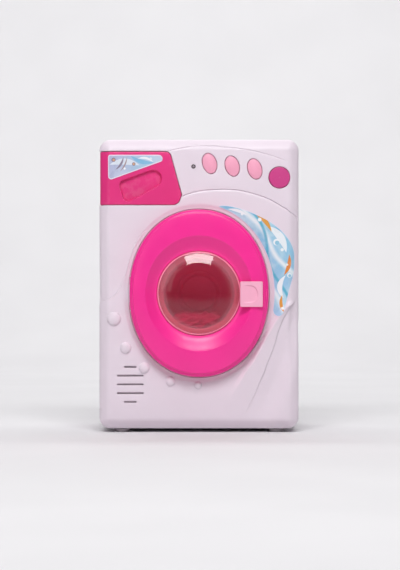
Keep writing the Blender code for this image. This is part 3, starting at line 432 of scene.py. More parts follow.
def soften(profile, r, n=4, closed=True):
    """Rounds each corner of a profile of (radius, y) points by up to r."""
    p = [Vector(q) for q in profile]
    out = []
    m = len(p)
    for i in range(m):
        if not closed and i in (0, m - 1):
            out.append(tuple(p[i]))
            continue
        a, b, c = p[i - 1], p[i], p[(i + 1) % m]
        if b.x < 1e-6:
            out.append(tuple(b))
            continue
        u, v = a - b, c - b
        if u.length < 1e-6 or v.length < 1e-6:
            continue
        ang = u.angle(v)
        if ang > 2.9:
            out.append(tuple(b))
            continue
        reach = min(r / math.tan(ang / 2), u.length * 0.48, v.length * 0.48)
        pa, pb = b + u.normalized() * reach, b + v.normalized() * reach
        for k in range(n + 1):
            t = k / n
            q = pa * (1 - t) ** 2 + b * (2 * t * (1 - t)) + pb * t * t
            out.append((max(q.x, 0.0), q.y))
    return out


def slab(outline, holes, y0, y1, r=0.3, steps=3, lines=None, height=None, back_r=None):
    """A plate in X and Z between y0 (front) and y1, with rounded edges. height adds relief to its front."""
    back_r = r if back_r is None else back_r
    outline = np.array(outline, float)
    if area(outline) < 0:
        outline = outline[::-1]
    loops = [outline] + [np.array(h, float) for h in holes]
    front, back = Lines(), Lines()
    ins = [r * (1 - math.cos(k / steps * math.pi / 2)) for k in range(1, steps + 1)]
    for d in ins:
        front.add(offset(outline, -d), True)
        back.add(offset(outline, -d * back_r / max(r, 1e-6)), True)
        for h in holes:
            front.add(offset(h, d), True)
            back.add(offset(h, d * back_r / max(r, 1e-6)), True)
    if lines is not None:
        front.points += lines.points
        front.edges += [(a + len(front.points) - len(lines.points), b + len(front.points) - len(lines.points))
                        for a, b in lines.edges]

    def edge_drop(uv, radius):
        d = off_line(uv, outline, True)[0]
        for h in holes:
            d = np.minimum(d, off_line(uv, h, True, reach=radius * 2)[0])
        d = np.clip(d, 0, radius)
        return -(radius - np.sqrt(np.maximum(radius ** 2 - (radius - d) ** 2, 0)))

    def top(uv):
        h = edge_drop(uv, r) if r > 0 else np.zeros(len(uv))
        return h + (height(uv) if height is not None else 0)

    def low(uv):
        return -(y1 - y0) - (edge_drop(uv, back_r) if back_r > 0 else 0)

    return two_sided(flat_place(y0), loops, front, back, top, low)


def bar(x0, x1, y0, y1, z0, z1, r=0.4, steps=3):
    """A block whose edges are all rounded."""
    bm = bmesh.new()
    bmesh.ops.create_cube(bm, size=1.0)
    bmesh.ops.scale(bm, vec=(x1 - x0, y1 - y0, z1 - z0), verts=bm.verts)
    bmesh.ops.translate(bm, vec=((x0 + x1) / 2, (y0 + y1) / 2, (z0 + z1) / 2), verts=bm.verts)
    bmesh.ops.bevel(bm, geom=list(bm.edges), offset=r, segments=steps, affect="EDGES", profile=0.5,
                    clamp_overlap=True)
    verts = np.array([tuple(v.co) for v in bm.verts])
    faces = [[v.index for v in f.verts] for f in bm.faces]
    bm.free()
    return verts, faces


# --------------------------------------------------------------- materials
def rgb(code):
    """Hex colour to linear RGBA."""
    out = []
    for i in (0, 2, 4):
        c = int(code[i:i + 2], 16) / 255.0
        out.append(c / 12.92 if c <= 0.04045 else ((c + 0.055) / 1.055) ** 2.4)
    return (*out, 1.0)


def shade(colour, k):
    return (*[max(0.0, min(1.0, c * k)) for c in colour[:3]], 1.0)


class Graph:
    """Short calls for building a node material."""

    def __init__(self, name):
        self.mat = bpy.data.materials.new(name)
        self.mat.use_nodes = True
        self.nt = self.mat.node_tree
        self.shader = self.nt.nodes["Principled BSDF"]
        self.out = self.nt.nodes["Material Output"]
        self.coord = self.nt.nodes.new("ShaderNodeTexCoord").outputs["Object"]

    def new(self, kind, **props):
        node = self.nt.nodes.new(kind)
        for k, v in props.items():
            setattr(node, k, v)
        return node

    def link(self, a, b):
        self.nt.links.new(a, b)

    def put(self, socket, value):
        if isinstance(value, bpy.types.NodeSocket):
            self.link(value, socket)
        else:
            socket.default_value = value

    def moved(self, scale=(1, 1, 1), rotation=(0, 0, 0), location=(0, 0, 0), source=None):
        node = self.new("ShaderNodeMapping")
        self.link(source or self.coord, node.inputs["Vector"])
        node.inputs["Scale"].default_value = scale
        node.inputs["Rotation"].default_value = rotation
        node.inputs["Location"].default_value = location
        return node.outputs["Vector"]

    def noise(self, scale, detail=2.0, rough=0.5, distort=0.0, source=None):
        node = self.new("ShaderNodeTexNoise")
        self.link(source or self.coord, node.inputs["Vector"])
        node.inputs["Scale"].default_value = scale
        node.inputs["Detail"].default_value = detail
        node.inputs["Roughness"].default_value = rough
        node.inputs["Distortion"].default_value = distort
        return node.outputs["Fac"]

    def cells(self, scale, feature="F1", source=None, rand=1.0):
        node = self.new("ShaderNodeTexVoronoi", feature=feature)
        self.link(source or self.coord, node.inputs["Vector"])
        node.inputs["Scale"].default_value = scale
        node.inputs["Randomness"].default_value = rand
        return node

    def span(self, value, lo, hi, out_lo=0.0, out_hi=1.0, kind="SMOOTHSTEP"):
        node = self.new("ShaderNodeMapRange", interpolation_type=kind)
        self.link(value, node.inputs["Value"])
        for key, v in (("From Min", lo), ("From Max", hi), ("To Min", out_lo), ("To Max", out_hi)):
            node.inputs[key].default_value = v
        return node.outputs["Result"]

    def math(self, op, a, b=0.0, c=0.0):
        node = self.new("ShaderNodeMath", operation=op)
        self.put(node.inputs[0], a)
        self.put(node.inputs[1], b)
        self.put(node.inputs[2], c)
        return node.outputs[0]

    def mix(self, fac, a, b, blend="MIX"):
        node = self.new("ShaderNodeMix", data_type="RGBA", blend_type=blend)
        self.put(node.inputs["Factor"], fac)
        self.put(node.inputs["A"], a)
        self.put(node.inputs["B"], b)
        return node.outputs["Result"]

    def wear(self):
        node = self.new("ShaderNodeAttribute", attribute_name="wear", attribute_type="GEOMETRY")
        return node.outputs["Fac"]

    def bump(self, height, distance, strength=1.0, normal=None):
        node = self.new("ShaderNodeBump")
        self.link(height, node.inputs["Height"])
        node.inputs["Distance"].default_value = distance
        node.inputs["Strength"].default_value = strength
        if normal is not None:
            self.link(normal, node.inputs["Normal"])
        return node.outputs["Normal"]

    def set(self, **values):
        names = {"color": "Base Color", "rough": "Roughness", "metal": "Metallic", "normal": "Normal",
                 "ior": "IOR", "coat": "Coat Weight", "coat_rough": "Coat Roughness",
                 "sheen": "Sheen Weight", "sheen_rough": "Sheen Roughness", "sub": "Subsurface Weight",
                 "sub_scale": "Subsurface Scale", "alpha": "Alpha", "spec": "Specular IOR Level"}
        for k, v in values.items():
            self.put(self.shader.inputs[names[k]], v)
        return self.mat


def plastic(name, code, rough=0.38, grain=0.5, grain_mm=0.45, drift=0.035, speck=0.02, worn=0.25,
            coat=0.0, sub=0.0, scuffs=0.5, tint=None):
    """Moulded plastic: a fine spark-eroded grain, slow drift in the colour, hairline scuffs and
    slightly paler, polished edges."""
    g = Graph(name)
    base = rgb(code)
    slow = g.noise(24.0, 3.0, 0.55)
    colour = g.mix(g.span(slow, 0.3, 0.7), shade(base, 1 - drift), shade(base, 1 + drift))
    fine = g.noise(1300.0, 2.0, 0.6)
    colour = g.mix(g.span(fine, 0.35, 0.65, 0.0, speck * 4), colour, shade(base, 1 - speck * 3))
    if tint:
        colour = g.mix(g.span(g.noise(9.0, 2.0, 0.5, 0.4), 0.35, 0.75, 0.0, 0.5), colour, rgb(tint))
    pale = tuple(c + (1 - c) * 0.28 for c in base[:3]) + (1.0,)
    edge = g.math("MULTIPLY", g.wear(), g.span(g.noise(160.0, 4.0, 0.65), 0.42, 0.62))
    colour = g.mix(g.math("MULTIPLY", edge, worn), colour, pale)
    hair_a = g.span(g.noise(1.0, 2.0, 0.5, 0.0, g.moved((900, 900, 45), (0.0, 0.35, 0.0))), 0.66, 0.72)
    hair_b = g.span(g.noise(1.0, 2.0, 0.5, 0.0, g.moved((55, 900, 1100), (0.0, -0.2, 0.3))), 0.67, 0.73)
    hairs = g.math("MULTIPLY", g.math("MAXIMUM", hair_a, hair_b),
                   g.span(g.noise(18.0, 2.0), 0.5, 0.66))
    r = g.span(g.noise(55.0, 4.0, 0.6), 0.3, 0.7, rough - 0.045, rough + 0.055, "LINEAR")
    r = g.math("ADD", r, g.math("MULTIPLY", hairs, 0.16 * scuffs))
    r = g.math("SUBTRACT", r, g.math("MULTIPLY", edge, 0.08))
    skin = g.noise(1000.0 / grain_mm, 2.0, 0.55)
    soft = g.noise(1000.0 / (grain_mm * 5), 2.0, 0.5)
    height = g.math("ADD", g.math("MULTIPLY", skin, 0.6), g.math("MULTIPLY", soft, 0.4))
    height = g.math("SUBTRACT", height, g.math("MULTIPLY", hairs, 0.5 * scuffs))
    normal = g.bump(height, 0.00006 * grain, 0.55)
    mat = g.set(color=colour, rough=r, normal=normal, coat=coat, coat_rough=0.12, sub=sub, spec=0.5)
    if sub:
        g.shader.inputs["Subsurface Radius"].default_value = (1.0, 0.45, 0.6)
        g.shader.inputs["Subsurface Scale"].default_value = 0.0016
    mat.diffuse_color = base
    return mat


def metal(name, code, rough=0.26, brushed=(700, 60, 700), drift=0.06, spots=0.3):
    g = Graph(name)
    base = rgb(code)
    streak = g.noise(1.0, 3.0, 0.6, 0.0, g.moved(brushed))
    colour = g.mix(g.span(streak, 0.3, 0.7), shade(base, 1 - drift), shade(base, 1 + drift))
    dull = g.span(g.noise(120.0, 4.0, 0.7), 0.52, 0.72, 0.0, spots)
    colour = g.mix(dull, colour, shade(base, 0.62))
    r = g.math("ADD", g.span(streak, 0.3, 0.7, rough - 0.07, rough + 0.1, "LINEAR"), g.math("MULTIPLY", dull, 0.25))
    return g.set(color=colour, rough=r, metal=1.0, normal=g.bump(streak, 0.00002, 0.5))


def rubber(name, code):
    g = Graph(name)
    base = rgb(code)
    colour = g.mix(g.span(g.noise(70.0, 4.0, 0.6), 0.3, 0.7), shade(base, 0.86), shade(base, 1.12))
    dust = g.span(g.noise(300.0, 3.0, 0.7), 0.55, 0.7, 0.0, 0.25)
    colour = g.mix(dust, colour, shade(base, 1.7))
    skin = g.noise(2200.0, 3.0, 0.6)
    return g.set(color=colour, rough=g.span(skin, 0.3, 0.7, 0.66, 0.84, "LINEAR"),
                 normal=g.bump(skin, 0.00005, 0.6))


def board(name):
    """Green solder resist over copper tracks."""
    g = Graph(name)
    tracks = g.new("ShaderNodeTexBrick")
    g.link(g.moved((1, 1, 1), (math.pi / 2, 0, 0)), tracks.inputs["Vector"])
    tracks.inputs["Scale"].default_value = 260.0
    tracks.inputs["Mortar Size"].default_value = 0.035
    tracks.inputs["Color1"].default_value = rgb("1f6b3d")
    tracks.inputs["Color2"].default_value = rgb("26784a")
    tracks.inputs["Mortar"].default_value = rgb("3f9460")
    pads = g.cells(420.0, rand=0.25, source=g.moved((1, 0.0, 1)))
    spot = g.span(pads.outputs["Distance"], 0.16, 0.2, 1.0, 0.0)
    colour = g.mix(g.math("MULTIPLY", spot, g.span(g.noise(60.0), 0.48, 0.56)), tracks.outputs["Color"], rgb("c9b27a"))
    return g.set(color=colour, rough=g.span(g.noise(400.0), 0.3, 0.7, 0.32, 0.5, "LINEAR"),
                 normal=g.bump(tracks.outputs["Fac"], 0.00003, 0.6))


def wrap(name):
    """A battery's shrink sleeve: two tones with a band near one end."""
    g = Graph(name)
    split = g.new("ShaderNodeSeparateXYZ")
    g.link(g.coord, split.inputs[0])
    band = g.span(split.outputs["X"], 0.0125, 0.013)
    colour = g.mix(band, rgb("35679c"), rgb("b9bcc2"))
    colour = g.mix(g.span(g.noise(200.0, 3.0), 0.5, 0.75, 0.0, 0.25), colour, rgb("2a4f78"))
    return g.set(color=colour, rough=g.span(g.noise(90.0, 3.0), 0.3, 0.7, 0.22, 0.4, "LINEAR"),
                 normal=g.bump(g.noise(900.0, 2.0), 0.00003, 0.4), coat=0.2)


def paper(name, code):
    g = Graph(name)
    base = rgb(code)
    fibre = g.noise(1.0, 4.0, 0.7, 0.6, g.moved((900, 900, 900)))
    colour = g.mix(g.span(fibre, 0.3, 0.7), shade(base, 0.7), shade(base, 1.35))
    return g.set(color=colour, rough=g.span(fibre, 0.3, 0.7, 0.75, 0.92, "LINEAR"), normal=g.bump(fibre, 0.00012, 0.7))


def fabric(name, code):
    """A small knitted cloth: ribs of loops, lint and uneven dye."""
    g = Graph(name)
    base = rgb(code)
    rib = g.new("ShaderNodeTexWave", wave_type="BANDS", bands_direction="DIAGONAL")
    g.link(g.coord, rib.inputs["Vector"])
    rib.inputs["Scale"].default_value = 330.0
    rib.inputs["Distortion"].default_value = 1.4
    rib.inputs["Detail"].default_value = 2.0
    rib.inputs["Detail Scale"].default_value = 3.0
    across = g.new("ShaderNodeTexWave", wave_type="BANDS", bands_direction="X")
    g.link(g.coord, across.inputs["Vector"])
    across.inputs["Scale"].default_value = 480.0
    across.inputs["Distortion"].default_value = 0.8
    weave = g.math("MULTIPLY", rib.outputs["Fac"], across.outputs["Fac"])
    colour = g.mix(g.span(weave, 0.1, 0.8), shade(base, 0.72), shade(base, 1.15))
    colour = g.mix(g.span(g.noise(45.0, 4.0, 0.6), 0.4, 0.75, 0.0, 0.4), colour, shade(base, 0.62))
    lint = g.span(g.noise(900.0, 3.0, 0.8), 0.62, 0.74, 0.0, 0.35)
    colour = g.mix(lint, colour, rgb("f2b7cd"))
    return g.set(color=colour, rough=g.span(weave, 0.0, 1.0, 0.95, 0.8, "LINEAR"),
                 normal=g.bump(weave, 0.00035, 0.8), sheen=0.35, sheen_rough=0.4)


def tinted_clear(name, code, milk_code, painted_reflection_tone, milk=0.24, band=0.2, middle=(0.0, 0.0), rim_r=25.0):
    """Clear tinted plastic, slightly milky: lamps shine through it; a paler haze towards its edge and at grazing angles
    is painted reflection.
    """
    g = Graph(name)
    nt = g.nt
    tone = rgb(code)
    cloud = g.span(g.noise(16.0, 2.0, 0.5), 0.3, 0.7)
    colour = g.mix(cloud, shade(tone, 0.96), shade(tone, 1.04))
    film = g.new("ShaderNodeBsdfTransparent")
    g.link(colour, film.inputs["Color"])
    gloss = g.new("ShaderNodeBsdfGlossy")
    gloss.inputs["Color"].default_value = (1, 1, 1, 1)
    haze = g.noise(700.0, 2.0, 0.6)
    scratch = g.span(g.noise(1.0, 2.0, 0.5, 0.0, g.moved((900, 900, 60), (0.0, 0.9, 0.0))), 0.64, 0.7)
    g.link(g.math("ADD", g.span(haze, 0.3, 0.7, 0.035, 0.075, "LINEAR"), g.math("MULTIPLY", scratch, 0.12)),
           gloss.inputs["Roughness"])
    normal = g.bump(g.noise(60.0, 2.0), 0.00012, 0.35)
    g.link(normal, gloss.inputs["Normal"])
    angle = g.new("ShaderNodeFresnel")
    angle.inputs["IOR"].default_value = 1.44
    g.link(normal, angle.inputs["Normal"])
    place = g.new("ShaderNodeSeparateXYZ")
    g.link(g.coord, place.inputs[0])
    dx = g.math("SUBTRACT", g.math("MULTIPLY", place.outputs["X"], 1000.0), middle[0])
    dz = g.math("SUBTRACT", g.math("MULTIPLY", place.outputs["Z"], 1000.0), middle[1])
    radius = g.math("SQRT", g.math("ADD", g.math("MULTIPLY", dx, dx), g.math("MULTIPLY", dz, dz)))
    # Past rim_r the diffuse haze turns to a paler tone and grows: a painted reflection of the surroundings on the
    # dome's steep side wall.
    edge = g.span(radius, rim_r - 1.0, rim_r + 3.5)
    body = g.new("ShaderNodeBsdfDiffuse")
    g.link(g.mix(g.math("MULTIPLY", edge, 0.8), rgb(milk_code), rgb(painted_reflection_tone)), body.inputs["Color"])
    g.link(normal, body.inputs["Normal"])
    mist = g.new("ShaderNodeMixShader")
    rim = g.new("ShaderNodeLayerWeight")
    rim.inputs["Blend"].default_value = 0.42
    outside = g.math("SUBTRACT", 1.0, g.new("ShaderNodeNewGeometry").outputs["Backfacing"])
    # The haze is the plastic's own milk, plus the pale band towards the edge and a Facing term that grows at grazing
    # angles; these two are painted reflection.
    milk_and_painted_reflection = g.math("ADD", g.math("ADD", g.span(g.noise(26.0, 3.0, 0.55), 0.3, 0.7, milk * 0.85, milk * 1.15),
                                   g.math("MULTIPLY", edge, band)),
                     g.math("MULTIPLY", g.math("POWER", rim.outputs["Facing"], 2.0), 0.4))
    g.link(g.math("MULTIPLY", milk_and_painted_reflection, outside), mist.inputs[0])
    g.link(film.outputs[0], mist.inputs[1])
    g.link(body.outputs[0], mist.inputs[2])
    both = g.new("ShaderNodeMixShader")
    g.link(g.math("MULTIPLY", g.math("MULTIPLY", angle.outputs[0], 1.2), outside), both.inputs[0])
    g.link(mist.outputs[0], both.inputs[1])
    g.link(gloss.outputs[0], both.inputs[2])
    g.link(both.outputs[0], g.out.inputs["Surface"])
    nt.nodes.remove(g.shader)
    g.mat.diffuse_color = (*tone[:3], 0.5)
    return g.mat


M_BODY = plastic("body_plastic", "e8dbe6", 0.42, grain=0.8, grain_mm=0.55, drift=0.014, speck=0.008, worn=0.35)
M_DOOR = plastic("door_plastic", "fb2a97", 0.36, grain=0.35, grain_mm=0.4, drift=0.03, speck=0.012, worn=0.3, coat=0.12)
M_DRAWER = plastic("drawer_plastic", "e5307f", 0.40, grain=0.6, grain_mm=0.5, drift=0.03, speck=0.014, worn=0.3)
M_PALE = plastic("latch_plastic", "fcb4cf", 0.40, grain=0.4, drift=0.02, speck=0.01, worn=0.3, sub=0.0)
M_BUTTON = plastic("button_plastic", "f7a9c4", 0.38, grain=0.4, drift=0.025, speck=0.012, worn=0.3)
M_KNOB = plastic("start_plastic", "cf4089", 0.42, grain=0.6, drift=0.03, speck=0.015, worn=0.3)
M_RIM = plastic("window_rim_plastic", "ff8db0", 0.22, grain=0.15, drift=0.03, speck=0.0, worn=0.2)
M_DRUM = plastic("drum_plastic", "ff4d80", 0.34, grain=0.5, drift=0.03, speck=0.01, worn=0.3)
M_WHITE = plastic("white_plastic", "ebe6e9", 0.44, grain=0.6, drift=0.02, speck=0.01, worn=0.3)
M_BLACK = plastic("black_plastic", "2b2b2e", 0.46, grain=0.7, drift=0.08, speck=0.03, worn=0.5)
M_WIRE_R = plastic("red_wire_sleeve", "b3262b", 0.42, grain=0.3, drift=0.05, speck=0.02, worn=0.2)
M_WIRE_B = plastic("black_wire_sleeve", "26262a", 0.45, grain=0.3, drift=0.08, speck=0.02, worn=0.2)
M_STEEL = metal("steel", "c3c5c9")
M_MOTOR = metal("motor_metal", "aeb1b5", 0.3, (60, 700, 700))
M_RUBBER = rubber("grey_rubber", "8f868c")
M_PCB = board("circuit_board")
M_PAPER = paper("paper_cone", "8d8589")
M_CELL = wrap("cell_wrap")
M_CLOTH = fabric("cloth", "f23a80")
# Its fourth colour, f3a6b8, and the band weight 0.13 make the window's painted reflection.
M_WINDOW = tinted_clear("window_plastic", "fadde4", "e2466f", "f3a6b8", 0.18, 0.13, (0.0, DOOR_Z), 25.0)
M_FELT = plastic("grille_felt", "b5aab1", 0.8, grain=1.2, grain_mm=0.25, drift=0.06, speck=0.03, worn=0.0)
M_LED = plastic("led_lens", "8f858c", 0.16, grain=0.1, drift=0.05, speck=0.0, worn=0.1, coat=0.5)


# ---------------------------------------------------------------- printed art
def label_base(g):
    """Object coordinates in mm, as x and z."""
    split = g.new("ShaderNodeSeparateXYZ")
    g.link(g.coord, split.inputs[0])
    x = g.math("MULTIPLY", split.outputs["X"], 1000.0)
    z = g.math("MULTIPLY", split.outputs["Z"], 1000.0)
    return x, z


def ring_mask(g, x, z, cx, cz, r, width=None, soft=0.12):
    """1 inside a round dot, or on a ring of that width."""
    dx = g.math("SUBTRACT", x, cx)
    dz = g.math("SUBTRACT", z, cz)
    d = g.math("SQRT", g.math("ADD", g.math("MULTIPLY", dx, dx), g.math("MULTIPLY", dz, dz)))
    if width is None:
        return g.span(d, r - soft, r + soft, 1.0, 0.0)
    e = g.math("ABSOLUTE", g.math("SUBTRACT", d, r))
    return g.span(e, width / 2 - soft, width / 2 + soft, 1.0, 0.0)


def wave_mask(g, x, z, angle, pitch, amp, period, width, phase=0.0, soft=0.15):
    """1 on parallel wavy stripes."""
    ca, sa = math.cos(angle), math.sin(angle)
    along = g.math("ADD", g.math("MULTIPLY", x, ca), g.math("MULTIPLY", z, sa))
    across = g.math("SUBTRACT", g.math("MULTIPLY", z, ca), g.math("MULTIPLY", x, sa))
    wave = g.math("MULTIPLY", g.math("SINE", g.math("MULTIPLY", along, math.tau / period)), amp)
    t = g.math("ADD", g.math("DIVIDE", g.math("ADD", across, wave), pitch), phase)
    f = g.math("ABSOLUTE", g.math("SUBTRACT", g.math("FRACT", t), 0.5))
    return g.span(f, width / 2 - soft / pitch, width / 2 + soft / pitch, 1.0, 0.0)


def finish_label(g, colour, rough=0.3):
    """A laminated paper label: faint print grain, slight ripple."""
    fine = g.noise(1500.0, 2.0, 0.6)
    colour = g.mix(g.span(fine, 0.35, 0.65, 0.0, 0.07), colour, rgb("c9d2dc"))
    edge = g.math("MULTIPLY", g.wear(), g.span(g.noise(200.0, 3.0), 0.4, 0.65, 0.0, 0.5))
    colour = g.mix(edge, colour, rgb("f3f2f2"))
    r = g.span(g.noise(70.0, 3.0), 0.3, 0.7, rough - 0.05, rough + 0.08, "LINEAR")
    return g.set(color=colour, rough=r, normal=g.bump(g.noise(90.0, 2.0), 0.00008, 0.4), coat=0.15)


def swoosh_mask(g, x, z, cx, cz, r, width, at, reach):
    """A curved leaf: part of a ring, widest at its middle and running out to points. at is its direction from (cx, cz)."""
    dx, dz = g.math("SUBTRACT", x, cx), g.math("SUBTRACT", z, cz)
    d = g.math("SQRT", g.math("ADD", g.math("MULTIPLY", dx, dx), g.math("MULTIPLY", dz, dz)))
    along = g.math("DIVIDE", g.math("SUBTRACT", g.math("MULTIPLY", dz, math.cos(at)), g.math("MULTIPLY", dx, math.sin(at))), reach)
    wide = g.math("MULTIPLY", g.math("SUBTRACT", 1.0, g.math("MULTIPLY", along, along)), width / 2)
    off = g.math("SUBTRACT", g.math("ABSOLUTE", g.math("SUBTRACT", d, r)), wide)
    front_half = g.span(g.math("ADD", g.math("MULTIPLY", dx, math.cos(at)), g.math("MULTIPLY", dz, math.sin(at))), -0.1, 0.1)
    return g.math("MULTIPLY", g.span(off, -0.12, 0.12, 1.0, 0.0), front_half)


def front_label_material():
    g = Graph("front_sticker_print")
    x, z = label_base(g)
    drift = g.span(z, 95.0, 182.0)
    colour = g.mix(drift, rgb("a3c9e8"), rgb("76bfe0"))
    soft = g.noise(30.0, 3.0, 0.5, 1.2)
    colour = g.mix(g.span(soft, 0.44, 0.62, 0.0, 0.8), colour, rgb("bfe0ee"))
    colour = g.mix(wave_mask(g, x, z, math.radians(-55), 21.0, 1.8, 46.0, 0.16, 0.15, 1.6), colour, rgb("e8f2f8"))
    colour = g.mix(wave_mask(g, x, z, math.radians(-70), 33.0, 2.6, 60.0, 0.07, 0.42, 0.8), colour, rgb("58b3d2"))
    for cx, cz, r, width, at, reach, tone in (
            (43.0, 141.0, 27.0, 6.0, 0.62, 13.0, "eef5fa"), (30.0, 150.0, 30.0, 3.6, 0.74, 11.0, "e3a03f"),
            (52.0, 139.0, 20.5, 3.2, -0.25, 8.5, "e8872c"), (77.0, 116.0, 12.5, 4.2, 3.05, 9.0, "f4f8fb"),
            (80.0, 104.5, 14.5, 2.6, 3.25, 7.0, "e69a35"), (22.0, 150.0, 29.0, 2.4, 1.25, 8.0, "f2f7fb")):
        colour = g.mix(swoosh_mask(g, x, z, cx, cz, r, width, at, reach), colour, rgb(tone))
    for cx, cz, r, tone in ((62.0, 152.5, 2.6, "f3f8fb"), (62.5, 151.9, 1.8, "8cc8e2"), (66.5, 146.4, 1.3, "f3f8fb"),
                            (48.5, 170.5, 1.5, "f3f8fb"), (72.4, 126.0, 1.9, "f3f8fb"), (72.6, 125.6, 1.2, "84c3e0"),
                            (34.5, 175.0, 1.1, "f3f8fb"), (66.8, 99.6, 1.1, "f3f8fb"), (70.5, 134.5, 0.9, "f3f8fb")):
        colour = g.mix(ring_mask(g, x, z, cx, cz, r, None, 0.2), colour, rgb(tone))
    return finish_label(g, colour)


def drawer_label_material():
    g = Graph("drawer_sticker_print")
    x, z = label_base(g)
    colour = g.mix(g.span(x, -72.0, -34.0), rgb("b6bad8"), rgb("a3cde6"))
    colour = g.mix(g.span(g.noise(40.0, 3.0, 0.5, 0.8), 0.42, 0.62, 0.0, 0.7), colour, rgb("cdd4ea"))
    for cx, cz, r, width, at, reach, tone in (
            (-60.0, 190.0, 27.0, 5.0, 1.55, 12.0, "dfe6f2"), (-40.0, 238.0, 22.0, 3.4, -1.85, 10.0, "86bde0"),
            (-74.0, 222.0, 13.5, 1.7, -0.55, 6.0, "8d8097"), (-76.0, 222.5, 18.5, 1.1, -0.45, 6.5, "a78f95"),
            (-45.0, 208.0, 12.0, 1.8, 1.35, 6.5, "f1f4fa")):
        colour = g.mix(swoosh_mask(g, x, z, cx, cz, r, width, at, reach), colour, rgb(tone))
    for cx, cz, r, tone in ((-68.4, 218.4, 1.7, "8d8097"), (-68.2, 218.3, 1.0, "d8a27c"), (-52.2, 215.0, 1.4, "8d8097"),
                            (-52.2, 215.0, 0.8, "e0a878"), (-59.5, 211.4, 0.9, "f3f5fa"), (-38.6, 219.4, 1.0, "e3eaf5")):
        colour = g.mix(ring_mask(g, x, z, cx, cz, r, None, 0.16), colour, rgb(tone))
    return finish_label(g, colour)


M_LABEL = front_label_material()
M_LABEL_D = drawer_label_material()
M_BORDER = plastic("sticker_border", "e6dff0", 0.32, grain=0.2, drift=0.02, speck=0.01, worn=0.2)


# ------------------------------------------------- the cabinet's wrapped skin
class Skin:
    """A rounded box seen as a flat sheet: (u, v) is the place on its face, and past the face's flat
    part the sheet rolls over the edge and runs along the side wall. bends are (start, length, degrees)
    along the roll. side is 1 for the front half."""

    def __init__(self, face_y, end_y, bends, side):
        self.y, self.end, self.s = face_y, end_y, side
        self.roll = max(a + b for a, b, _ in bends)
        self.t = np.linspace(0, self.roll, 400)
        angle = np.zeros(400)
        for start, length, degrees in bends:
            angle += math.radians(degrees) * np.clip((self.t - start) / length, 0, 1)
        self.angle = angle
        step = self.t[1]
        mid = (angle[1:] + angle[:-1]) / 2
        self.over = np.concatenate([[0], np.cumsum(np.cos(mid) * step)])
        self.back = np.concatenate([[0], np.cumsum(np.sin(mid) * step)])
        self.a, self.b = float(self.over[-1]), float(self.back[-1])
        self.hx, self.hz = HALF_W - self.a, (TOP - BOTTOM) / 2 - self.a
        self.r = CORNER - self.a
        self.depth = self.roll + abs(end_y - face_y) - self.b

    def place(self, uv, h):
        u, v = uv[:, 0], uv[:, 1] - MID_Z
        qx, qz = np.abs(u) - (self.hx - self.r), np.abs(v) - (self.hz - self.r)
        corner = (qx > 0) & (qz > 0)
        length = np.hypot(np.maximum(qx, 0), np.maximum(qz, 0))
        safe = np.maximum(length, 1e-9)
        nx = np.where(corner, np.maximum(qx, 0) / safe, (qx > qz).astype(float))
        nz = np.where(corner, np.maximum(qz, 0) / safe, (qx <= qz).astype(float))
        d = np.where(corner, length, np.maximum(qx, qz)) - self.r
        nx, nz = nx * np.sign(u), nz * np.sign(v)
        out = np.maximum(d, 0)
        reach = np.interp(out, self.t, self.over)
        back = np.interp(out, self.t, self.back) + np.maximum(out - self.roll, 0)
        phi = np.interp(out, self.t, self.angle)
        x = u - nx * out + nx * (reach + np.sin(phi) * h)
        z = v - nz * out + nz * (reach + np.sin(phi) * h) + MID_Z
        y = self.y + self.s * (back - np.cos(phi) * h)
        return np.column_stack([x, y, z])

    def flat_u(self, x):
        """The sheet's u for a place at x in the front view."""
        over = abs(x) - self.hx
        if over <= 0:
            return x
        return math.copysign(self.hx + float(np.interp(over, self.over, self.t)), x)

    def side_u(self, y):
        """How far out u is for a place at depth y on the side wall."""
        return self.hx + self.roll + abs(y - self.y) - self.b

    def outline(self, d, step=3.0):
        """The line all round at distance d past the flat part."""
        hx, hz, r = self.hx + d, self.hz + d, max(self.r + d, 0.02)
        loop = rounded([(-hx, MID_Z - hz), (hx, MID_Z - hz), (hx, MID_Z + hz), (-hx, MID_Z + hz)], r,
                       max(6, int(6 + max(d, 0) / 3)))
        out = []
        for p, q in zip(loop, np.roll(loop, -1, axis=0)):
            n = max(1, int(round(np.hypot(*(q - p)) / step)))
            out += [p + (q - p) * k / n for k in range(n)]
        return np.array(out)

    def grid(self, lines, step_face, step_side, rings=9):
        """Base lines and dots for the whole sheet."""
        for k in range(rings + 1):
            lines.add(self.outline(self.roll * k / rings, 4.0), True)
        d = self.roll + step_side
        while d < self.depth - step_side * 0.6:
            lines.add(self.outline(d, step_side), True)
            d += step_side
        xs = np.arange(-self.hx + step_face / 2, self.hx, step_face)
        zs = np.arange(MID_Z - self.hz + step_face / 2, MID_Z + self.hz, step_face)
        gx, gz = np.meshgrid(xs, zs)
        lines.dots(np.column_stack([gx.ravel(), gz.ravel()]))


def lip(uv, loop, r, outside=True):
    """How far a rounded edge of radius r falls away round an opening."""
    d, _, _ = off_line(uv, loop, True, reach=r * 1.5)
    d = np.clip(d, 0, r)
    drop = r - np.sqrt(np.maximum(r * r - (r - d) ** 2, 0))
    return -drop


def lip_lines(lines, loop, r, n=4, out=1.0):
    for k in range(1, n + 1):
        lines.add(offset(loop, out * r * (1 - math.cos(k / n * math.pi / 2)) + out * 0.002), True)


front = Skin(FRONT_Y, PART_Y, [(0.0, 3.6, 32.0), (3.6, 5.4, 8.0), (9.0, 3.8, 50.0)], 1)

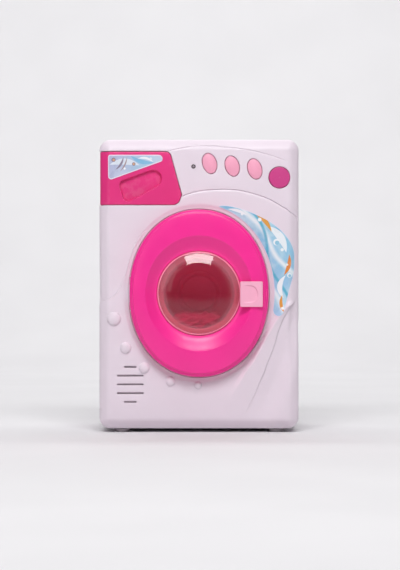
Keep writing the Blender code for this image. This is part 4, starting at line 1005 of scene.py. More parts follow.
# Lines of the moulded relief, as places in the front view.
ARC_UP = curve([seen(*p) for p in ((161.0, 153.8), (167, 151.7), (186.7, 146.6), (205.5, 145.1), (218.7, 145.7),
                                   (243.2, 148.9), (268, 154.6), (288.3, 161.7))], 1.2)
ARC_LOW = [seen(*p) for p in ((176, 198.6), (183, 195.9), (198, 191.4), (220.6, 189.5), (243.2, 191.2),
                              (267.6, 198.7), (284, 207.9))]
ARC_LOW = curve(ARC_LOW + [(front.flat_u(seen(297.7, 217.5)[0]), seen(297.7, 217.5)[1])], 1.2)
S_LINE = [seen(*p) for p in ((148.75, 229.3), (144.3, 231.5), (138.9, 237.3), (134.5, 245.4), (130.9, 255.2),
                             (127.3, 265.9), (124.6, 274.8), (121.1, 284.6), (117.5, 290.9), (113, 295.4),
                             (105, 299.8))]
S_LINE = curve(S_LINE + [(-front.side_u(-40.0), seen(98, 301.5)[1])], 1.2)
RIDGE = [(front.flat_u(seen(297, 300.6)[0]), seen(297, 300.6)[1])] + [seen(*p) for p in (
    (288, 306.7), (278.8, 318), (271.6, 330), (263.7, 343.8), (255.8, 359.3), (247.9, 370.7), (242.4, 379.8),
    (236, 390), (229.5, 402), (225, 414))]
RIDGE = curve(RIDGE, 1.2)
STEP = curve([seen(*p) for p in ((289.5, 307.6), (282.5, 321), (278.2, 332), (275.6, 341.5), (273.6, 347.8), (270.8, 355.3),
                                 (267.7, 362.8), (264.5, 371.9), (260.2, 381.4), (255.5, 393), (250, 404), (245, 414))], 1.2)

DRAWER_END_U = front.side_u(-29.9)
DRAWER_LOOP = rounded([(-DRAWER_END_U, 182.4), (-16.6, 182.4), (-13.9, 190.5), (-23.4, 225.0), (-DRAWER_END_U, 225.0)],
                      [1.6, 6.0, 3.0, 5.0, 1.6])


def even(loop, step):
    """Splits the long sides of an outline, keeping its corners."""
    out = []
    for p, q in zip(loop, np.roll(loop, -1, axis=0)):
        n = max(1, int(round(np.hypot(*(q - p)) / step)))
        out += [p + (q - p) * k / n for k in range(n)]
    return np.array(out)


DRAWER_LOOP = even(DRAWER_LOOP, 2.5)
HOLES = {
    "drawer": (offset(DRAWER_LOOP, 0.42), 0.45),
    "port": (disc(0, DOOR_Z, 40.0, 128), 0.7),
    "catch": (box_outline(42.6, 49.9, 103.3, 118.5, 0.8), 0.3),
    "start": (disc(*START, START_R + 0.45, 72), 0.45),
    "led": (disc(*LED, 1.75, 28), 0.3),
}
for i, (x, z) in enumerate(BUTTONS):
    HOLES[f"button_{i}"] = (oval(x, z, BUTTON_A, BUTTON_B, 64, BUTTON_TILT, 0.45), 0.45)
for i, (x0, x1, z) in enumerate(SLITS):
    HOLES[f"slit_{i}"] = (box_outline(x0, x1, z - 0.72, z + 0.72, 0.7, 5), 0.6)


def front_relief(uv):
    u, v = uv[:, 0], uv[:, 1]
    h = np.zeros(len(uv))
    # Two long grooves: a steep upper wall, and below it a broad rounded shoulder.
    for line, depth, upper, lower in ((ARC_UP, 0.6, 0.55, 2.0), (ARC_LOW, 1.0, 0.65, 2.4)):
        d, side, t = off_line(uv, line, reach=5.0)
        fade = smooth(np.minimum(t / 0.03, (1 - t) / 0.10 if line is ARC_UP else 1.0))
        below = 1 - np.sqrt(np.maximum(1 - (1 - np.clip(d / lower, 0, 1)) ** 2, 0))
        above = smooth(1 - d / upper)
        h -= depth * fade * np.where(side > 0, below, above)
    # The shallow hollow left of the S-shaped edge.
    d, side, t = off_line(uv, S_LINE)
    deep = 0.95 * smooth(t / 0.25) * smooth((1 - t) / 0.04 + 0.4)
    h -= np.where(side > 0, deep * np.exp(-(d / 20.0) ** 2) * smooth(0.5 + d / 0.9),
                  deep * smooth(0.5 - d / 0.9))
    h -= 0.5 * smooth(1 - d / 0.42) * smooth(t / 0.05)
    # The fin: rises to a bright ridge, falls away to a step, and past it turns down to the corner.
    d_r, s_r, t_r = off_line(uv, RIDGE)
    d_s, s_s, t_s = off_line(uv, STEP)
    ends = smooth(t_r / 0.10) * smooth((1 - t_r) / 0.34)
    sr, ss = -d_r * s_r, -d_s * s_s            # positive to the right of each line, going down
    crest = 2.0
    left = crest * smooth(1 + sr / 4.2)
    share = np.clip(sr, 0, None) / np.maximum(np.clip(sr, 0, None) + np.clip(-ss, 0, None), 1e-6)
    between = crest - (crest - 0.25) * share ** 1.1
    far = np.clip(ss, 0, None)
    past = -(0.7 + 0.24 * np.minimum(far, 9.0)) * smooth((26.0 - far) / 14.0)
    step = smooth(0.5 + ss / 0.8)
    fin = np.where(sr < 0, left, between * (1 - step) + past * step)
    fin = np.where((sr < 0) & (d_r > 4.4), 0.0, fin)
    h += fin * ends * smooth((front.side_u(-34.0) - np.abs(u)) / 14.0)
    # Bubbles.
    for x, z, r, rise in BUBBLES:
        q = 1 - ((u - x) ** 2 + (v - z) ** 2) / (r * r)
        foot = smooth(1 - (np.sqrt((u - x) ** 2 + (v - z) ** 2) - r) / 0.5) * 0.12
        h = np.where(q > 0, h + 0.12 + rise * np.sqrt(np.maximum(q, 0)), h + foot)
    # The shallow recess round the door, with a narrow channel where the door's edge sits.
    inner = smooth(0.5 - squared_distance(uv, RECESS_A, RECESS_B) / 2.8)
    h = h * (1 - inner) - 0.55 * inner
    d = squared_distance(uv, DOOR_A, DOOR_B)
    h -= 0.9 * smooth((0.6 - d) / 0.3) * smooth((d + 1.4) / 0.4)
    for loop, r in HOLES.values():
        h += lip(uv, loop, r)
    return h


def edge_of(skin, uv, width, drop):
    """A small bevel where the shell ends."""
    q = np.maximum(np.abs(uv[:, 0]) - (skin.hx - skin.r), 0), np.maximum(np.abs(uv[:, 1] - MID_Z) - (skin.hz - skin.r), 0)
    d = np.where((q[0] > 0) & (q[1] > 0), np.hypot(*q), np.maximum(*q)) - skin.r
    return -drop * smooth(1 - (skin.depth - d) / width)


def side_lines(lines, line, rows):
    """Rows of points beside an open line, at the given distances to its right."""
    p = np.array(line)
    t = np.gradient(p, axis=0)
    t /= np.hypot(*t.T)[:, None]
    n = np.column_stack([t[:, 1], -t[:, 0]])
    for d in rows:
        lines.add(p + n * d)


def build_front():
    lines = Lines()
    front.grid(lines, 4.0, 6.0, rings=10)
    lines.add(front.outline(front.depth - 0.5, 5.0), True)
    side_lines(lines, ARC_UP, (-0.9, -0.45, -0.3, -0.15, 0, 0.08, 0.25, 0.5, 0.85, 1.25, 1.7, 2.6))
    side_lines(lines, ARC_LOW, (-1.0, -0.5, -0.33, -0.16, 0, 0.1, 0.3, 0.6, 1.1, 1.6, 2.2, 3.2))
    side_lines(lines, S_LINE, (-2.0, -0.7, -0.42, -0.3, -0.2, -0.1, 0, 0.1, 0.2, 0.3, 0.42, 0.7, 2.0, 5.0))
    side_lines(lines, RIDGE, (4.3, 3.8, 3.2, 2.5, 1.8, 1.1, 0.6, 0.25, 0, -0.3, -0.8, -1.6))
    side_lines(lines, STEP, (1.6, 0.8, 0.42, 0.2, 0, -0.2, -0.42, -0.8, -2.0, -5.0, -9.0))
    for x, z, r, _ in BUBBLES:
        for k in (1.16, 1.1, 1.05, 1.0, 0.985, 0.955, 0.91, 0.85, 0.77, 0.67, 0.55, 0.42, 0.28, 0.14):
            lines.add(disc(x, z, r * k, 44 if k > 0.5 else 20), True)
        lines.dots([(x, z)])
    for d in (-1.4, -0.9, -0.45, 0.0, 0.45, 0.9, 1.4, 2.4):
        lines.add(squared(RECESS_A + d, RECESS_B + d, 150), True)
    for d in (-2.0, -1.4, -1.2, -1.0, 0.1, 0.3, 0.4, 0.5, 0.6):
        lines.add(squared(DOOR_A + d, DOOR_B + d, 150), True)
    for loop, r in HOLES.values():
        lip_lines(lines, loop, r)
    inner = Lines()
    front.grid(inner, 14.0, 12.0, rings=4)
    loops = [front.outline(front.depth, 4.0)] + [loop for loop, _ in HOLES.values()]

    def outer_h(uv):
        return front_relief(uv) + edge_of(front, uv, 0.5, 0.35)

    verts, faces = two_sided(front.place, loops, lines, inner, outer_h,
                             lambda uv: np.minimum(-2.2, front_relief(uv) - 1.7))
    parts = Parts().add(verts, faces)
    for x, z in POSTS:
        parts.add(*turned(soften([(3.6, -44.4), (3.6, -20.2), (1.6, -20.2), (1.6, -40.0), (0.0, -40.0), (0.0, -44.4)], 0.3, 2), x, z, 28))
    parts.add(*turned(soften([(43.0, -44.4), (43.0, -37.0), (44.8, -37.0), (44.8, -44.4)], 0.3, 2), 0, DOOR_Z, 96))
    # A strip of felt behind the speaker slits.
    parts.add(*bar(-68.2, -41.8, -43.7, -43.2, 21.8, 55.4, 0.15, 1), 1)
    # The hinge lug on its stem, with the bore for the pin.
    out = [(HINGE_X + 2.5, -44.4), (HINGE_X + 2.5, HINGE_Y)]
    out += [(HINGE_X + 2.5 * math.cos(t), HINGE_Y - 2.5 * math.sin(t)) for t in np.linspace(0.15, math.pi - 0.4, 14)]
    out += [(HINGE_X - 1.6, HINGE_Y + 1.6), (HINGE_X - 1.2, -44.4)]
    v, f = slab([(x, y) for x, y in out], [disc(HINGE_X, HINGE_Y, 1.5, 24)], 0.0, 12.0, r=0.3, steps=2)
    v = np.column_stack([v[:, 0], v[:, 2], DOOR_Z - 6.0 + v[:, 1]])
    parts.add(v, f)
    return parts.make("cabinet_front", [M_BODY, M_FELT], sharp=34.0)


# ------------------------------------------------------------------ rear half
rear = Skin(BACK_Y, PART_Y + 0.3, [(0.0, 4.0 * math.pi / 2, 90.0)], -1)
REAR_HOLES = {"battery": (box_outline(-33.4, 33.4, 15.1, 75.4, 3.2), 0.3)}
for i in range(6):
    z = 182.0 + i * 5.0
    REAR_HOLES[f"vent_{i}"] = (box_outline(-26.0, 26.0, z - 1.0, z + 1.0, 0.98, 5), 0.35)
for i, (x, z) in enumerate(POSTS):
    REAR_HOLES[f"well_{i}"] = (disc(x, z, 3.3, 36), 0.5)


def build_rear():
    lines, inner = Lines(), Lines()
    rear.grid(lines, 9.0, 12.0, rings=7)
    lines.add(rear.outline(rear.depth - 0.5, 6.0), True)
    rear.grid(inner, 18.0, 20.0, rings=3)
    for loop, r in REAR_HOLES.values():
        lip_lines(lines, loop, r)
    pad = box_outline(-37.5, 37.5, 11.5, 79.6, 4.0)
    field = box_outline(-31.0, 31.0, 176.0, 213.0, 4.0)
    for loop in (pad, field):
        for d in (-0.7, -0.45, -0.2, 0.0, 0.2, 0.45, 0.7):
            lines.add(offset(even(loop, 4.0), d), True)
    for x, z in POSTS:
        for r in (4.6, 4.9, 5.2, 5.5, 5.8):
            lines.add(disc(x, z, r, 40), True)
    loops = [rear.outline(rear.depth, 4.0)] + [loop for loop, _ in REAR_HOLES.values()]

    def outer_h(uv):
        h = edge_of(rear, uv, 0.5, 0.35)
        # Flat sinks round the battery cover and the air slots, and round each screw well.
        for loop, deep in ((pad, 0.45), (field, 0.5)):
            d, _, _ = off_line(uv, loop, True, reach=2.0)
            d = np.where(inside(uv, loop), d, -d)
            h -= deep * smooth(0.5 + np.clip(d, -2, 2) / 1.2)
        for x, z in POSTS:
            d = np.hypot(uv[:, 0] - x, uv[:, 1] - z)
            h -= 0.35 * smooth(0.5 + (5.2 - d) / 1.1)
        for loop, r in REAR_HOLES.values():
            h += lip(uv, loop, r)
        return h

    verts, faces = two_sided(rear.place, loops, lines, inner, outer_h, lambda uv: np.full(len(uv), -2.2))
    parts = Parts().add(verts, faces)
    for x, z in POSTS:
        parts.add(*turned(soften([(3.35, 57.4), (3.35, -14.0), (1.6, -14.0), (1.6, -19.6), (4.7, -19.6), (4.7, 57.4)],
                                 0.25, 2), x, z, 32))
    for x, z in ((-24.0, 89.0), (50.0, 89.0), (-24.0, 155.0), (50.0, 155.0)):
        parts.add(*turned(soften([(1.5, 34.5), (3.4, 34.5), (3.4, 57.0), (0.0, 57.0), (0.0, 47.0), (1.5, 47.0)], 0.25, 2), x, z, 24))
    return parts.make("cabinet_rear", M_BODY, sharp=34.0)


cabinet_front = build_front()
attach(cabinet_front, "cabinet")
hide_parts("front_shell")
cabinet_rear = build_rear()
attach(cabinet_rear, "cabinet")
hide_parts("rear_shell")


# -------------------------------------------------------- detergent drawer
SCOOP = rounded([(-64.0, 200.4), (-29.9, 212.8), (-30.3, 199.5), (-59.0, 183.3)], [3.8, 6.6, 6.0, 4.5], 12)
SCOOP_MID = np.array([-45.8, 199.0])
SCOOP_UP = np.array([-0.42, 0.91]) / np.hypot(0.42, 0.91)


def scoop_depth(uv, extra):
    t = 0.5 + ((uv - SCOOP_MID) @ SCOOP_UP) / 19.0
    return 5.2 + (8.6 - 5.2) * smooth(t * 1.6) + extra


def build_drawer():
    lines, inner = Lines(), Lines()
    for k in range(11):
        lines.add([(-front.hx - front.roll * k / 10, 182.5 + i * 4.24) for i in range(11)])
    for x in np.arange(-70.0, -16.0, 4.0):
        lines.dots([(x, z) for z in np.arange(184.5, 224.0, 4.0)])
    for d in (1.1, 0.8, 0.5, 0.25, 0.0, -0.15, -0.3, -0.5, -0.75, -1.05, -1.4, -1.9, -2.6, -4.0, -5.5):
        lines.add(offset(SCOOP, d), True)
    lip_lines(lines, DRAWER_LOOP, 0.8, 4, -1.0)
    for k in range(6):
        inner.add([(-front.hx - front.roll * k / 5, 182.6 + i * 8.4) for i in range(6)])
    for d in (2.6, 2.2, 1.8, 1.4, 0.8, 0.2, -0.6, -1.6, -4.0):
        inner.add(offset(SCOOP, d), True)

    def pocket(uv, grow, extra, lip_w):
        loop = offset(SCOOP, grow) if grow else SCOOP
        d, _, _ = off_line(uv, loop, True, reach=8.0)
        d = np.where(inside(uv, loop), d, -d)
        wall = 0.9
        into = smooth((d + lip_w * 0.55) / (wall + lip_w))
        return -scoop_depth(uv, extra) * into

    def outer_h(uv):
        return -0.6 + lip(uv, DRAWER_LOOP, 0.8) + pocket(uv, 0.0, 0.0, 1.5)

    def inner_h(uv):
        return -2.5 + np.minimum(pocket(uv, 1.2, 1.4, 0.6) + 1.9, 0.0)

    verts, faces = two_sided(front.place, [DRAWER_LOOP], lines, inner, outer_h, inner_h)
    parts = Parts().add(verts, faces)

    # The tray: a tub with rounded corners, open at the top.
    def ring(x0, x1, y0, y1, z, r):
        loop = box_outline(x0, x1, y0, y1, r, 6)
        return np.column_stack([loop[:, 0], loop[:, 1], np.full(len(loop), z)])

    rings = [ring(-71.0, -30.4, -42.2, 7.2, 184.0, 1.6), ring(-71.5, -29.9, -42.7, 7.7, 184.2, 2.0),
             ring(-71.8, -29.6, -43.0, 8.0, 184.8, 2.3), ring(-71.8, -29.6, -43.0, 8.0, 213.3, 2.3),
             ring(-71.7, -29.7, -42.9, 7.9, 213.65, 2.2), ring(-71.4, -30.0, -42.6, 7.6, 213.8, 1.9),
             ring(-70.6, -30.8, -41.8, 6.8, 213.8, 1.2), ring(-70.3, -31.1, -41.5, 6.5, 213.65, 0.9),
             ring(-70.2, -31.2, -41.4, 6.4, 213.3, 0.8), ring(-70.2, -31.2, -41.4, 6.4, 186.6, 0.8),
             ring(-69.9, -31.5, -41.1, 6.1, 185.9, 0.6), ring(-69.2, -32.2, -40.4, 5.4, 185.6, 0.4)]
    parts.add(*lofted(rings, cap_first=True, cap_last=True))
    # A low rib across the tray, as such drawers have.
    parts.add(*bar(-70.4, -31.0, -13.6, -12.4, 185.3, 200.0, 0.3, 2))
    return parts.make("detergent_drawer_moulding", M_DRAWER, sharp=36.0)


drawer = build_drawer()
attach(drawer, "drawer")
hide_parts("detergent_drawer")


# ---------------------------------------------------------------- stickers
def build_label(name, outline, base, print_mat, body, node, border, thick=0.2, extra=()):
    """A thin label that follows the surface under it, base(uv): a printed face with a plain border."""
    loop = even(np.array(outline), 2.0)
    if area(loop) < 0:
        loop = loop[::-1]
    lines, inner = Lines(), Lines()
    frame_loop = offset(loop, -border)
    lines.add(frame_loop, True)
    lines.add(offset(loop, -0.12), True)
    for k in range(11):
        x = front.hx + front.roll * k / 10
        for s in (-1, 1):
            z0, z1 = loop[:, 1].min(), loop[:, 1].max()
            lines.add([(s * x, z0 + (z1 - z0) * i / 30) for i in range(31)])
            inner.add([(s * x, z0 + (z1 - z0) * i / 30) for i in range(31)])
    for line, rows in extra:
        side_lines(lines, line, rows)
        side_lines(inner, line, rows)

    def top(uv):
        d, _, _ = off_line(uv, loop, True)
        return base(uv) + 0.05 + thick - 0.05 * smooth(1 - d / 0.12)

    verts, faces = two_sided(front.place, [loop], lines, inner, top, lambda uv: base(uv) + 0.05)
    index = []
    # Faces of the top inside the frame line take the print, the rest the border's plain stock.
    mids = np.array([verts[list(f)].mean(axis=0) for f in faces])
    seen_loop = front.place(frame_loop, base(frame_loop) + 0.05 + thick)[:, [0, 2]]
    in_frame = inside(mids[:, [0, 2]], seen_loop)
    for k, f in enumerate(faces):
        index.append(0 if in_frame[k] and len(f) == 3 else 1)
    obj = Parts().add(verts, faces, index).make(name, [print_mat, M_BORDER], sharp=50.0)
    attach(obj, body)
    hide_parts(node)
    return obj


crescent = []
for k in range(31):
    t = math.radians(74 - k * 85 / 30)
    crescent.append(((RECESS_A + 0.9) * math.cos(t), DOOR_Z + (RECESS_B + 0.9) * math.sin(t)))
tail = curve([crescent[-1], (59.4, 96.2), (60.7, 94.1), (62.7, 93.1), (64.8, 93.2), (66.8, 94.6), (68.2, 97.2),
              (69.8, 103.0), (71.4, 110.0), (72.8, 116.0), (74.4, 121.6), (75.8, 127.4), (76.5, 137.0), (75.6, 147.0),
              (69.6, 158.0), (57.8, 168.4), (43.0, 176.0), (29.0, 180.6), (18.6, 182.0), (15.6, 181.0), (16.6, 180.2),
              crescent[0]], 1.6)
crescent = [(front.flat_u(x), z) for x, z in [*crescent[:-1], *map(tuple, tail[:-1])]]
front_label = build_label("front_sticker_print_sheet", crescent, front_relief, M_LABEL, "cabinet", "front_sticker", 0.45,
                          extra=((RIDGE, (-1.6, -0.8, -0.3, 0, 0.25, 0.6, 1.1, 1.8, 2.5, 3.2, 3.8, 4.3)),
                                 (squared(RECESS_A, RECESS_B, 150)[:75], (-1.4, -0.9)), (S_LINE, ())))
drawer_label = build_label("drawer_sticker_print_sheet",
                           rounded([(-73.0, 222.4), (-28.0, 222.4), (-29.6, 217.2), (-72.9, 201.6)], [1.8, 3.2, 2.6, 2.6], 8),
                           lambda uv: np.full(len(uv), -0.6), M_LABEL_D, "drawer", "drawer_sticker", 0.9)


# ---------------------------------------------------------------- controls
def cap_stations(a, b, front_y, crown, edge, back=-43.2, flange=1.3):
    """Rings of (a, b, y) for a push cap: flange, wall, rounded edge and a crowned top."""
    st = [(a * 0.3, b * 0.3, -42.2), (a + flange, b + flange, -42.2), (a + flange, b + flange, back), (a, b, back),
          (a, b, front_y + crown + edge)]
    for k in range(1, 6):
        g = k / 5 * math.pi / 2
        st.append((a - edge * (1 - math.cos(g)), b - edge * (1 - math.cos(g)), front_y + crown + edge - edge * math.sin(g)))
    a1, b1 = a - edge, b - edge
    for k in range(1, 10):
        s = k / 9 * 0.94
        st.append((a1 * (1 - s), b1 * (1 - s), front_y + crown * (1 - s) ** 2))
    return st


def push_cap(name, cx, cz, a, b, tilt, front_y, crown, edge, mat, body, node, slot, n=72, gate=False):
    rings = []
    for aa, bb, y in cap_stations(a, b, front_y, crown, edge):
        ring = oval(cx, cz, aa, bb, n, tilt)
        rings.append(np.column_stack([ring[:, 0], np.full(n, y), ring[:, 1]]))
    parts = Parts().add(*lofted(rings, cap_first=True, cap_last=True))
    parts.add(*turned(soften([(0.0, -42.4), (2.4, -42.4), (2.4, -37.7), (0.0, -37.7)], 0.3, 2), cx, cz, 24))
    if gate:      # the little mark that the mould's gate leaves in the middle
        parts.add(*turned([(0.0, front_y - 0.16), (0.35, front_y - 0.15), (0.62, front_y - 0.02), (0.7, front_y + 0.3),
                           (0.0, front_y + 0.3)], cx, cz, 20))
    obj = parts.make(name, mat, sharp=40.0)
    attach(obj, body)
    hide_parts(node)
    return obj


for i, (x, z) in enumerate(BUTTONS):
    push_cap(f"program_button_cap_{i + 1}", x, z, BUTTON_A, BUTTON_B, BUTTON_TILT, -47.7, 1.15, 0.65, M_BUTTON,
             f"button_{i + 1}", f"program_button_{i + 1}", "pale_pink_plastic")
push_cap("start_button_cap", *START, START_R, START_R, 0.0, -47.0, 0.35, 0.8, M_KNOB, "start", "start_button",
         "start_plastic", n=96, gate=True)

lens = Parts().add(*turned([(0.0, -46.0), (0.45, -45.95), (0.85, -45.75), (1.15, -45.4), (1.3, -44.9), (1.3, -41.2), (1.9, -41.1),
                            (1.9, -40.2), (0.0, -40.2)], *LED, 32))
for s in (-1, 1):
    lens.add(*bar(LED[0] + s * 0.75 - 0.25, LED[0] + s * 0.75 + 0.25, -40.4, -34.0, LED[1] - 0.25, LED[1] + 0.25, 0.08, 1), 1)
lens = lens.make("indicator_led_lens", [M_LED, M_STEEL], sharp=45.0)
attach(lens, "cabinet")
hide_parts("indicator_led")


# -------------------------------------------------------------------- door
def stations(keys, per=5):
    """Smooth (a, b, y) stations through key ones; a key that ends with True stays a crisp corner."""
    out = []
    run = [keys[0]]
    for key in keys[1:]:
        run.append(key)
        if (len(key) > 3 and key[3]) or key is keys[-1]:
            p = [np.array(k[:3], float) for k in run]
            p = [2 * p[0] - p[1]] + p + [2 * p[-1] - p[-2]]
            for a, b, c, d in zip(p, p[1:], p[2:], p[3:]):
                for k in range(per):
                    t = k / per
                    out.append(0.5 * (2 * b + (c - a) * t + (2 * a - 5 * b + 4 * c - d) * t * t
                                      + (3 * b - a - 3 * c + d) * t ** 3))
            run = [key]
    out.append(np.array(keys[-1][:3], float))
    return out


def build_door():
    n = 176
    outer = stations([
        (56.1, 67.2, -46.0), (55.9, 67.0, -48.6), (55.45, 66.55, -52.2, True), (55.3, 66.4, -53.0), (55.0, 66.1, -53.6),
        (54.5, 65.6, -54.1), (53.8, 64.9, -54.6), (53.3, 64.4, -54.85), (53.05, 64.15, -55.0, True), (52.95, 64.05, -55.35),
        (52.75, 63.85, -55.8), (52.35, 63.45, -56.1), (51.6, 62.6, -56.25), (50.4, 60.8, -56.55), (48.2, 56.9, -57.0),
        (45.4, 51.4, -57.35), (43.4, 47.0, -57.45), (42.8, 45.95, -57.4), (42.45, 45.45, -57.2), (42.1, 45.0, -56.85),
        (39.8, 41.6, -54.8), (37.2, 38.1, -52.65), (35.6, 36.0, -51.6), (34.5, 34.6, -51.15), (33.95, 33.95, -50.95),
        (33.7, 33.7, -50.5, True), (33.7, 33.7, -49.9)], 4)
    back = [(37.0, 37.4, -49.9), (39.6, 41.0, -51.6), (42.8, 45.9, -54.3), (47.6, 54.8, -55.5), (52.2, 63.3, -54.4),
            (53.9, 65.0, -52.9), (53.9, 65.0, -46.0)]
    rings = []
    for a, b, y in [*outer, *back]:
        ring = squared(a, b, n, 2.0 + (SQUARE - 2.0) * float(smooth((b - a - 4.0) / 6.0)))
        rings.append(np.column_stack([ring[:, 0], np.full(n, y), ring[:, 1]]))
    verts, faces = lofted(rings, loop=True)
    body = make_object("door_body_mesh", verts, faces, M_DOOR)
    # Openings for the hinge at the left and for the latch's tongue.
    cutters = []
    for name, data in (("cut_hinge", bar(-60.0, HINGE_X + 3.4, -52.4, -44.0, DOOR_Z - 14.6, DOOR_Z + 14.6, 0.5, 2)),
                       ("cut_latch", bar(43.4, 49.6, -62.0, -53.0, 103.2, 118.6, 0.5, 2))):
        c = make_object(name, *data, M_DOOR)
        cutters.append(c)
        mod = body.modifiers.new(name, "BOOLEAN")
        mod.operation, mod.solver, mod.object = "DIFFERENCE", "EXACT", c
    bpy.context.view_layer.update()
    graph = bpy.context.evaluated_depsgraph_get()
    cut = bpy.data.meshes.new_from_object(body.evaluated_get(graph))
    bm = bmesh.new()
    bm.from_mesh(cut)
    parts = Parts()
    bm.verts.index_update()
    parts.add([tuple(v.co / MM) for v in bm.verts], [[v.index for v in f.verts] for f in bm.faces])
    bm.free()
    bpy.data.meshes.remove(cut)
    for o in [body, *cutters]:
        me = o.data
        bpy.data.objects.remove(o)
        bpy.data.meshes.remove(me)
    for x, z in ((-33.0, 46.0), (33.0, 46.0), (-33.0, -46.0), (33.0, -46.0)):
        parts.add(*turned(soften([(1.4, -48.4), (3.0, -48.4), (3.0, -55.6), (0.0, -55.6), (0.0, -54.2), (1.4, -54.2)], 0.2, 2),
                          x, DOOR_Z + z, 28))
    for z0, z1 in ((DOOR_Z + 6.4, DOOR_Z + 13.2), (DOOR_Z - 13.2, DOOR_Z - 6.4)):
        out = [(HINGE_X + 2.5, -54.4), (HINGE_X + 2.5, HINGE_Y)]
        out += [(HINGE_X + 2.5 * math.cos(g), HINGE_Y + 2.5 * math.sin(g)) for g in np.linspace(0.15, math.pi - 0.1, 16)]
        out += [(HINGE_X - 2.2, HINGE_Y - 1.2), (HINGE_X - 1.5, -52.6), (HINGE_X - 0.2, -54.0)]
        v, f = slab(out, [disc(HINGE_X, HINGE_Y, 1.5, 24)], 0.0, z1 - z0, r=0.3, steps=2)
        parts.add(np.column_stack([v[:, 0], v[:, 2], z0 + v[:, 1]]), f)
    parts.add(*bar(51.4, 54.3, -55.0, -48.6, DOOR_Z - 4.4, DOOR_Z + 3.0, 0.3, 2))
    return parts.make("door_ring_moulding", M_DOOR, sharp=30.0)


door = build_door()
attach(door, "door")
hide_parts("door_ring")


def build_back_ring():
    loop = oval(0, DOOR_Z, 64.4, 53.3, 150)
    cut = (loop[:, 0] < 0) & (np.abs(loop[:, 1] - DOOR_Z) < 15.0)
    loop = np.array([(x, z) for (x, z), c in zip(loop, cut) if not c])
    # The hinge's notch, from its lower corner to its upper one.
    k = int(np.argmax(np.hypot(*(np.roll(loop, -1, axis=0) - loop).T)))
    notch = [(-49.2, DOOR_Z + 14.9), (-49.2, DOOR_Z - 14.9)]
    loop = np.vstack([loop[:k + 1], notch, loop[k + 1:]])
    holes = [disc(0, DOOR_Z, 34.7, 128), box_outline(43.4, 49.6, 103.2, 118.6, 0.7)]
    for x, z in ((-33.0, 46.0), (33.0, 46.0), (-33.0, -46.0), (33.0, -46.0)):
        holes.append(disc(x, DOOR_Z + z, 1.4, 20))
    verts, faces = slab(loop, holes, -48.0, -46.2, r=0.3, steps=3)
    parts = Parts().add(verts, faces)
    parts.add(*turned(soften([(34.7, -47.9), (36.8, -47.9), (36.8, -41.0), (34.7, -41.0)], 0.5, 4), 0, DOOR_Z, 128))
    for r0 in (39.4,):     # a raised bead on the inside face
        parts.add(*turned(soften([(r0, -46.5), (r0 + 1.4, -46.5), (r0 + 1.4, -45.85), (r0, -45.85)], 0.4, 3), 0, DOOR_Z, 128))
    return parts.make("door_back_ring_moulding", M_PALE, sharp=36.0)


back_ring = build_back_ring()
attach(back_ring, "door")
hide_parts("door_back_ring")


def build_window():
    """A dome with a steep, rounded side wall and a flatter front, thickened to 1.3 mm, on a flange."""
    keys = [(33.35, -50.9), (33.3, -51.5), (32.95, -51.95), (32.5, -51.85), (32.1, -52.0), (31.3, -52.5),
            (29.2, -53.45), (27.0, -54.45), (25.4, -55.2), (24.5, -55.6), (23.4, -55.95), (20.0, -56.6), (14.0, -57.35),
            (7.0, -57.8), (0.0, -57.9)]
    p = curve(keys, 0.45)
    outer = [(max(0.0, r), y) for r, y in p]
    outer[-1] = (0.0, outer[-1][1])
    inner = []
    for k, (r, y) in enumerate(outer):
        a, b = np.array(outer[max(k - 1, 0)]), np.array(outer[min(k + 1, len(outer) - 1)])
        t = (b - a) / max(np.hypot(*(b - a)), 1e-9)
        n = np.array([-t[1], t[0]])       # towards the inside
        q = np.array([r, y]) - n * -1.3 if n[1] > 0 else np.array([r, y]) + n * -1.3
        inner.append((max(0.0, q[0]), q[1]))
    inner[-1] = (0.0, outer[-1][1] + 1.3)
    inner = [q for q in inner if q[1] < -49.2]
    profile = outer + list(reversed(inner)) + [(32.0, -49.2), (32.0, -48.5), (32.3, -48.3), (36.4, -48.3), (36.7, -48.5), (36.7, -49.3),
                                               (36.4, -49.5), (33.3, -49.5)]
    verts, faces = turned(profile, 0, DOOR_Z, 144)
    index = []
    for f in faces:
        mid = verts[list(f)].mean(axis=0)
        index.append(1 if math.hypot(mid[0], mid[2] - DOOR_Z) > 32.2 else 0)
    parts = Parts().add(verts, faces, index)
    return parts.make("window_dome_clear", [M_WINDOW, M_RIM], sharp=50.0)


window = build_window()
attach(window, "door")
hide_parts("window_dome")

pin = Parts().add(*turned([(0.0, 98.6), (0.9, 98.6), (1.2, 98.9), (1.2, 124.3), (0.9, 124.6), (0.0, 124.6)], HINGE_X, HINGE_Y, 32,
                          closed=False, axis="z"))
pin = pin.make("hinge_pin_steel", M_STEEL, sharp=50.0)
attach(pin, "door")
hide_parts("hinge_pin")


